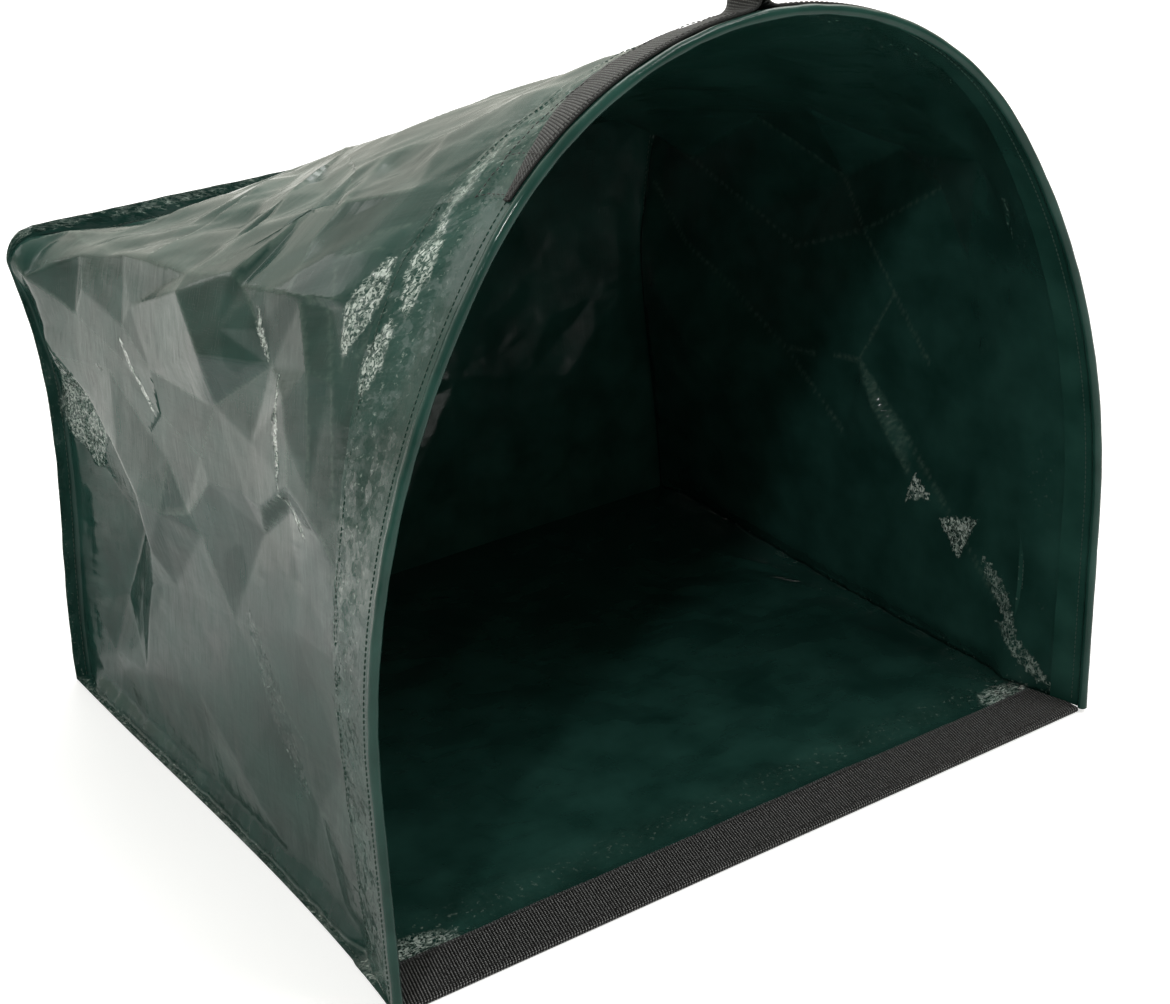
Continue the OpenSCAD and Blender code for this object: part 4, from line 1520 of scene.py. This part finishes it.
@dataclass(frozen=True)
class Webbing(Finish):
    """Woven tape with ribs across it, of two yarns each."""

    name: str = "Black webbing"
    # The crowns of the ribs are painted light and the grooves near black: painted
    # highlight and shade
    dark: str = "#020202"
    light: str = "#868786"
    rib: float = RIB * MM
    yarn: float = 0.0016

    def surface(self, graph: Graph) -> bpy.types.Node:
        uv = graph.flat_place()
        # Ribs 2 mm apart lie across the tape, and yarns 1.6 mm apart cross them
        pitches = (math.pi / self.rib, math.pi / self.yarn, 0.0)
        places = graph.parts(graph.scaled(uv, pitches))
        slant = graph.math("MULTIPLY", places[1], RIB_LEAN * self.yarn / MM)
        lean = graph.math("ADD", places[0], slant)
        rib = graph.math("ABSOLUTE", graph.math("SINE", lean))
        yarn = graph.math("ABSOLUTE", graph.math("SINE", places[1]))
        height = graph.math("ADD", rib, graph.math("MULTIPLY", yarn, 0.4))
        fuzz = graph.noise(uv, 1400.0, 2.0)
        normal = graph.bump(height, 0.0004, 0.8, graph.bump(fuzz, 0.0002, 0.5))
        # Painted highlight and shade: pale on the rib crowns, dark in the grooves
        crown = graph.math("MULTIPLY", height, graph.ramp(fuzz, 0.3, 0.7, 0.7, 1.1))
        painted_rib_shade = graph.ramp(crown, 0.98, 1.22, 0.0, 1.0)
        return graph.paint(
            graph.mix(painted_rib_shade, self.dark, self.light),
            0.6,
            normal,
            Specular_IOR_Level=0.22,
            Sheen_Weight=0.08,
            Sheen_Roughness=0.5,
        )


@dataclass(frozen=True)
class Thread(Finish):
    """Twisted sewing thread."""

    name: str = "Sewing thread"
    dark: str = "#1c3029"
    light: str = "#3c554a"

    def surface(self, graph: Graph) -> bpy.types.Node:
        twist = graph.noise(graph.place(), 3800.0, 1.0)
        colour = graph.mix(twist, self.dark, self.light)
        return graph.paint(colour, 0.5, graph.bump(twist, 0.0001, 0.6))


@dataclass(frozen=True)
class GlassFibre(Finish):
    """Pultruded rod with fine lines along it."""

    name: str = "Glass fibre rod"
    pale: str = "#d8d6c8"
    line: str = "#b6b29f"

    def surface(self, graph: Graph) -> bpy.types.Node:
        lines = graph.noise(graph.scaled(graph.place(), (900.0, 900.0, 60.0)), 1.0, 3.0)
        colour = graph.mix(lines, self.pale, self.line)
        rough = graph.ramp(lines, 0.3, 0.7, 0.3, 0.5)
        return graph.paint(colour, rough, graph.bump(lines, 0.0001, 0.4))


@dataclass(frozen=True)
class SoftCap(Finish):
    """Dipped soft cap, matt and slightly uneven."""

    name: str = "Soft cap"
    dark: str = "#0d0d0d"
    light: str = "#1c1c1b"

    def surface(self, graph: Graph) -> bpy.types.Node:
        skin = graph.noise(graph.place(), 700.0, 3.0)
        colour = graph.mix(skin, self.dark, self.light)
        rough = graph.ramp(skin, 0.3, 0.7, 0.55, 0.7)
        return graph.paint(colour, rough, graph.bump(skin, 0.0001, 0.5))


# --- Stitches ---


class StitchInput(Enum):
    """Inputs of the stitch group: the name and kind of each socket."""

    SEAMS = ("Geometry", "Geometry")
    PITCH = ("Pitch", "Float")
    LENGTH = ("Stitch length", "Float")
    RADIUS = ("Thread radius", "Float")
    MATERIAL = ("Material", "Material")


def stitch_group() -> bpy.types.NodeTree:
    """Make the node group that lays a stitch at each step of a seam."""
    tree = bpy.data.node_groups.new("Stitch rows", "GeometryNodeTree")
    sockets = [(*row.value, "INPUT") for row in StitchInput]
    for name, kind, way in [*sockets, ("Geometry", "Geometry", "OUTPUT")]:
        tree.interface.new_socket(name, in_out=way, socket_type="NodeSocket" + kind)
    graph = Graph(tree)
    given = graph.add("NodeGroupInput").outputs
    seams, pitch, length, radius, material = (given[r.value[0]] for r in StitchInput)
    lines = graph.first("GeometryNodeMeshToCurve", {"Mesh": seams})
    steps = graph.first(
        "GeometryNodeResampleCurve", {"Curve": lines, "Length": pitch}, mode="LENGTH"
    )
    ahead = graph.first("GeometryNodeInputTangent")
    turn = graph.first("FunctionNodeAlignRotationToVector", {"Vector": ahead}, axis="Z")
    ball = graph.first(
        "GeometryNodeMeshUVSphere", {"Segments": 8, "Rings": 6, "Radius": 1.0}
    )
    half = graph.math("MULTIPLY", length, 0.5)
    size = graph.first("ShaderNodeCombineXYZ", {0: radius, 1: radius, 2: half})
    laid = graph.first(
        "GeometryNodeInstanceOnPoints",
        {"Points": steps, "Instance": ball, "Rotation": turn, "Scale": size},
    )
    real = graph.first("GeometryNodeRealizeInstances", {0: laid})
    painted = graph.first(
        "GeometryNodeSetMaterial", {"Geometry": real, "Material": material}
    )
    smooth = graph.first("GeometryNodeSetShadeSmooth", {0: painted})
    graph.add("NodeGroupOutput", {0: smooth})
    return tree


@dataclass(frozen=True)
class StitchRow:
    """Rows of stitches along seams, made by the stitch group; sizes in metres."""

    pitch: float = 0.0042
    length: float = 0.0031
    radius: float = 0.00032

    def sew(
        self,
        name: str,
        seams: Sequence[Array],
        material: bpy.types.Material,
        tree: bpy.types.NodeTree,
    ) -> bpy.types.Object:
        """Lay stitches along seams.

        Args:
            name: Name of the piece.
            seams: Lines of points in millimetres.
            material: The thread's finish.
            tree: The node group.

        Returns:
            One object with every stitch as plain mesh.
        """
        mesh = bpy.data.meshes.new(name + "_lines")
        starts = np.cumsum([0] + [len(s) for s in seams]).tolist()
        pieces = zip(starts, starts[1:])
        edges = [(i, i + 1) for a, b in pieces for i in range(a, b - 1)]
        mesh.from_pydata((np.concatenate(seams) * MM).tolist(), edges, [])
        lines = linked(name + "_lines", mesh)
        modifier = lines.modifiers.new("Stitches", "NODES")
        modifier.node_group = tree
        values = {
            StitchInput.PITCH: self.pitch,
            StitchInput.LENGTH: self.length,
            StitchInput.RADIUS: self.radius,
            StitchInput.MATERIAL: material,
        }
        named = {row.value[0]: value for row, value in values.items()}
        for item in tree.interface.items_tree:
            if item.in_out == "INPUT" and item.name in named:
                modifier[item.identifier] = named[item.name]
        graph = bpy.context.evaluated_depsgraph_get()
        made = bpy.data.meshes.new_from_object(lines.evaluated_get(graph))
        made.name = name
        bpy.data.objects.remove(lines)
        obj = linked(name, made)
        finish_with(obj, material)
        return obj


@dataclass(frozen=True)
class Seams:
    """Lines that the bag is sewn along."""

    builder: SheetBuilder

    def _side(self, s: Array, share: float, out: float) -> Array:
        """A line on the rear flange, a share of its width out from the seam."""
        z, shape = self.builder.size, self.builder.shape
        start = shape.point(s, np.full_like(s, z.last_y))
        line = start + (shape.flange_edge(s, 0.0) - start) * share
        wave = self.builder.wave.relief(line[:, 0], line[:, 2]) * share
        line[:, 1] = z.bag_d / 2 - 1.3 + out + wave
        return line

    def body(self) -> list[Array]:
        """Seams of the rear flange and along the ground."""
        z, shape = self.builder.size, self.builder.shape
        s = np.linspace(2, 2 * z.half_l - 2, 700)
        lines = [self._side(s, 0.3, -0.7), self._side(s, 0.3, 0.95)]
        y = np.linspace(z.hem_out_w + 2, z.bag_d - 8, 200)
        foot, half = shape.foot_half(y), shape.floor_half(y)
        for side in (-1, 1):
            for share, up in ((0.7, 1.6), (0.7, 0.05)):
                x = side * (foot + (half - foot) * share)
                lines.append(np.stack([x, y - z.bag_d / 2, np.full_like(x, up)], -1))
        return lines

    def mouth(self) -> list[Array]:
        """Seams of the hem, on both of its faces."""
        z, b = self.builder.size, self.builder
        s = np.linspace(6, 2 * z.half_l - 6, 900)
        k = z.leaf_k + z.hem_t / 2 + 0.25
        lines = []
        for y, out in ((8.5, k), (8.5, -k), (54.0, k)):
            depth = np.full_like(s, y)
            lift = b.hem_lift(s, depth) if out > 0 and y > 16 else 0 * s
            points = b.wall_point(s, depth, out)
            lines.append(points + b.shape.normal(s, depth) * lift[:, None])
        return lines

    def webbing(self) -> list[Array]:
        """Seams of the lip tape and of the handle's tails."""
        z, b = self.builder.size, self.builder
        top = z.lip_h + 0.22
        x = np.linspace(-z.half_w + 26, z.half_w - 26, 300)
        lines = [
            np.stack([x, np.full_like(x, y - z.bag_d / 2), np.full_like(x, top)], -1)
            for y in (4.5, z.lip_w - 3.0)
        ]
        out = z.strap_k + z.strap_t + 0.12
        start, end = z.tail_s + 3, z.half_l - z.tail_gap - 4
        along = np.linspace(start, end, 120)
        across = np.linspace(z.strap_y + 3, z.strap_y + z.strap_w - 3, 30)
        rows = [(along, z.strap_y + w) for w in (3.0, z.strap_w - 3.0)]
        rows += [(s, across) for s in (start, start + 26, end)]
        for s, y in rows:
            left = b.wall_point(*np.broadcast_arrays(s, y), out)
            lines += [left, left * MIRROR]
        return lines


# --- Stage and camera ---


SKY, WHITE = "#fffdf0", "#ffffff"
UNIT_CORNERS = ((-1, -1), (1, -1), (1, 1), (-1, 1))


@dataclass(frozen=True)
class SoftLight:
    """A rectangular studio light that faces a point on the bag.

    Attributes:
        place: Where it stands, in metres.
        size: Its width and height, in metres.
        watts: Its power.
    """

    name: str
    place: tuple[float, float, float]
    size: tuple[float, float]
    watts: float
    target: tuple[float, float, float] = (0.0, 0.0, 0.25)

    def build(self) -> bpy.types.Object:
        light = bpy.data.lights.new(self.name, "AREA")
        light.shape = "RECTANGLE"
        light.size, light.size_y = self.size
        light.energy = self.watts
        obj = linked(self.name, light)
        obj.location = self.place
        way = Vector(self.target) - Vector(self.place)
        obj.rotation_euler = way.to_track_quat("-Z", "Y").to_euler()
        return obj


@dataclass(frozen=True)
class StudioFloor(Finish):
    """Pale floor, white to the camera, with a painted glow behind the bag that only
    reflections see.
    """

    name: str = "Studio floor"
    paint: str = "#e9e9e9"
    seen: float = 0.5
    # Strength of the painted glow that reflections see behind the bag
    mirrored: float = 0.45

    def surface(self, graph: Graph) -> bpy.types.Node:
        seen, mirrored = graph.rays()
        # Painted light: in reflections the floor glows from 0.42 m behind the bag's
        # middle, standing in for the lamps behind the bag
        depth = graph.parts(graph.place())["Y"]
        painted_glow = graph.ramp(depth, 0.42, 0.47, 0.0, self.mirrored)
        direct = graph.math("MULTIPLY", seen, self.seen)
        glow = graph.math("ADD", direct, graph.math("MULTIPLY", mirrored, painted_glow))
        paint = graph.first("ShaderNodeBsdfDiffuse", {"Color": linear(self.paint)})
        tint = graph.mix(seen, SKY, WHITE)
        light = graph.first("ShaderNodeEmission", {"Color": tint, "Strength": glow})
        return graph.add("ShaderNodeAddShader", {0: paint, 1: light})


@dataclass(frozen=True)
class Studio:
    """Pale floor, soft lights and a pale surrounding."""

    floor_size: float = 14.0
    ambient: float = 0.4
    backdrop: float = 1.0
    dim: float = 0.12
    lights: tuple[SoftLight, ...] = (
        SoftLight("Left bank", (-2.2, 2.6, 1.9), (2.6, 1.3), 14.0),
        SoftLight("Top bank", (1.1, 1.2, 2.6), (2.8, 2.2), 64.0),
        SoftLight("Front fill", (0.9, -1.3, 2.8), (1.2, 0.8), 32.0, (0.0, -0.2, 0.1)),
        SoftLight("Small lamp", (-1.6, -1.4, 1.9), (0.16, 0.16), 20.0),
    )

    def build(self) -> None:
        """Make the floor, the lights and the world."""
        half = self.floor_size / 2
        corners = [(x * half, y * half, 0) for x, y in UNIT_CORNERS]
        mesh = bpy.data.meshes.new("studio_floor")
        mesh.from_pydata(corners, [], [(0, 1, 2, 3)])
        floor = linked("studio_floor", mesh)
        finish_with(floor, StudioFloor().build())
        for light in self.lights:
            light.build()
        self._world()

    def _world(self) -> None:
        """Light all round: white behind the bag, and dim in front in reflections."""
        world = bpy.data.worlds.new("Studio")
        world.use_nodes = True
        graph = Graph(world.node_tree)
        seen, mirrored = graph.rays()
        way = graph.parts(graph.place("Generated"))
        shown = graph.ramp(way["Y"], -0.3, 0.25, self.dim, self.backdrop)
        # It is a little darker near the ground than higher up
        low = graph.ramp(way["Z"], 0.05, 0.3, 0.76, 1.0)
        shown = graph.math("MULTIPLY", shown, low)
        strength = graph.ramp(mirrored, 0.0, 1.0, self.ambient, shown)
        strength = graph.ramp(seen, 0.0, 1.0, strength, self.backdrop)
        colour = {"Color": graph.mix(seen, SKY, WHITE), "Strength": strength}
        sky = graph.first("ShaderNodeBackground", colour)
        graph.add("ShaderNodeOutputWorld", {"Surface": sky})
        bpy.context.scene.world = world


@dataclass(frozen=True)
class Viewpoint:
    """Where the camera stands and how it is turned."""

    place: tuple[float, float, float] = (-0.69919, -1.11899, 0.77599)
    yaw: float = 32.992
    pitch: float = 25.266
    roll: float = -2.677
    lens: float = 64.68

    def build(self) -> None:
        """Make the scene's camera."""
        yaw, pitch, roll = (math.radians(a) for a in (self.yaw, self.pitch, self.roll))
        ahead = Vector(
            (
                math.sin(yaw) * math.cos(pitch),
                math.cos(yaw) * math.cos(pitch),
                -math.sin(pitch),
            )
        )
        right = Vector((math.cos(yaw), -math.sin(yaw), 0))
        up = right.cross(ahead)
        tilted = right * math.cos(roll) + up * math.sin(roll)
        upright = up * math.cos(roll) - right * math.sin(roll)
        turn = Matrix((tilted, upright, -ahead)).transposed().to_4x4()
        data = bpy.data.cameras.new("Camera")
        data.lens, data.sensor_width = self.lens, 36.0
        camera = linked("Camera", data)
        camera.matrix_world = Matrix.Translation(self.place) @ turn
        bpy.context.scene.camera = camera


# --- Assembly ---


class Bag:
    """Puts the pieces, their finishes and their bodies together."""

    # Where flattened sheets would stay, and the share of their depth that would be
    # left; nothing reads them
    REAR_ANCHOR = (0.0, 0.245, 0.0)
    KEEP = 0.2

    def __init__(self, size: BagSizes) -> None:
        self.size = size
        self.builder = SheetBuilder(size)
        self.seams = Seams(self.builder)

    def build(self) -> None:
        """Make every piece of the bag, and hand all but the handle webbing to its body.
        """
        sheet = WovenSheet().build()
        hem_sheet = WovenSheet(
            name="Hem sheet", deep="#17362f", pale="#264941", ior=1.32
        ).build()
        webbing = Webbing().build()
        # The handle's rib crowns get a dimmer painted highlight
        handle_webbing = Webbing(name="Handle webbing", light="#626462").build()
        thread = Thread().build()
        wrap = self._soft(self.builder.wrap(), sheet, "wrap_panel")
        floor = self._soft(self.builder.floor(), sheet, "floor_panel")
        rear = self._soft(self.builder.rear(), sheet, "rear_panel")
        hem = self._soft(self.builder.hem(), hem_sheet, "hem_band")
        lip = self._soft(self.builder.lip(), webbing, "lip_tape")
        strap = self.builder.strap()
        finish_with(strap, handle_webbing)
        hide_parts("handle_strap_left", "handle_strap_right", "handle_loop")
        group = stitch_group()
        black = Thread(name="Black thread", dark="#141414", light="#343332").build()
        body_rows = StitchRow().sew("stitches_body", self.seams.body(), thread, group)
        hem_rows = StitchRow(pitch=0.0036, length=0.0028).sew(
            "stitches_hem", self.seams.mouth(), thread, group
        )
        tape_rows = StitchRow(pitch=0.0036, length=0.0027).sew(
            "stitches_webbing", self.seams.webbing(), black, group
        )
        for piece in (wrap, floor, rear, body_rows):
            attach(piece, "body")
            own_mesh(piece)
        for piece in (hem, lip, hem_rows, tape_rows):
            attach(piece, "mouth")
        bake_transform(strap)
        self._rigid()

    def _soft(
        self, obj: bpy.types.Object, material: bpy.types.Material, node: str
    ) -> bpy.types.Object:
        """Give a sheet its finish and hide the solid that it stands for."""
        finish_with(obj, material)
        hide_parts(node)
        return obj

    def _rigid(self) -> None:
        """Give the rod and its caps their finishes."""
        finish_with(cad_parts["hoop_rod"], GlassFibre().build())
        finish_with(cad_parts["rod_end_caps"], SoftCap().build())


def write_sizes() -> None:
    """Bring the scene up to date."""
    bpy.context.view_layer.update()


def main() -> None:
    """Build the bag, the stage and the camera."""
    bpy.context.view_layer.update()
    Bag(BagSizes()).build()
    Studio().build()
    Viewpoint().build()
    bpy.context.scene.view_settings.view_transform = "Standard"
    write_sizes()


if __name__ == "__main__":
    main()
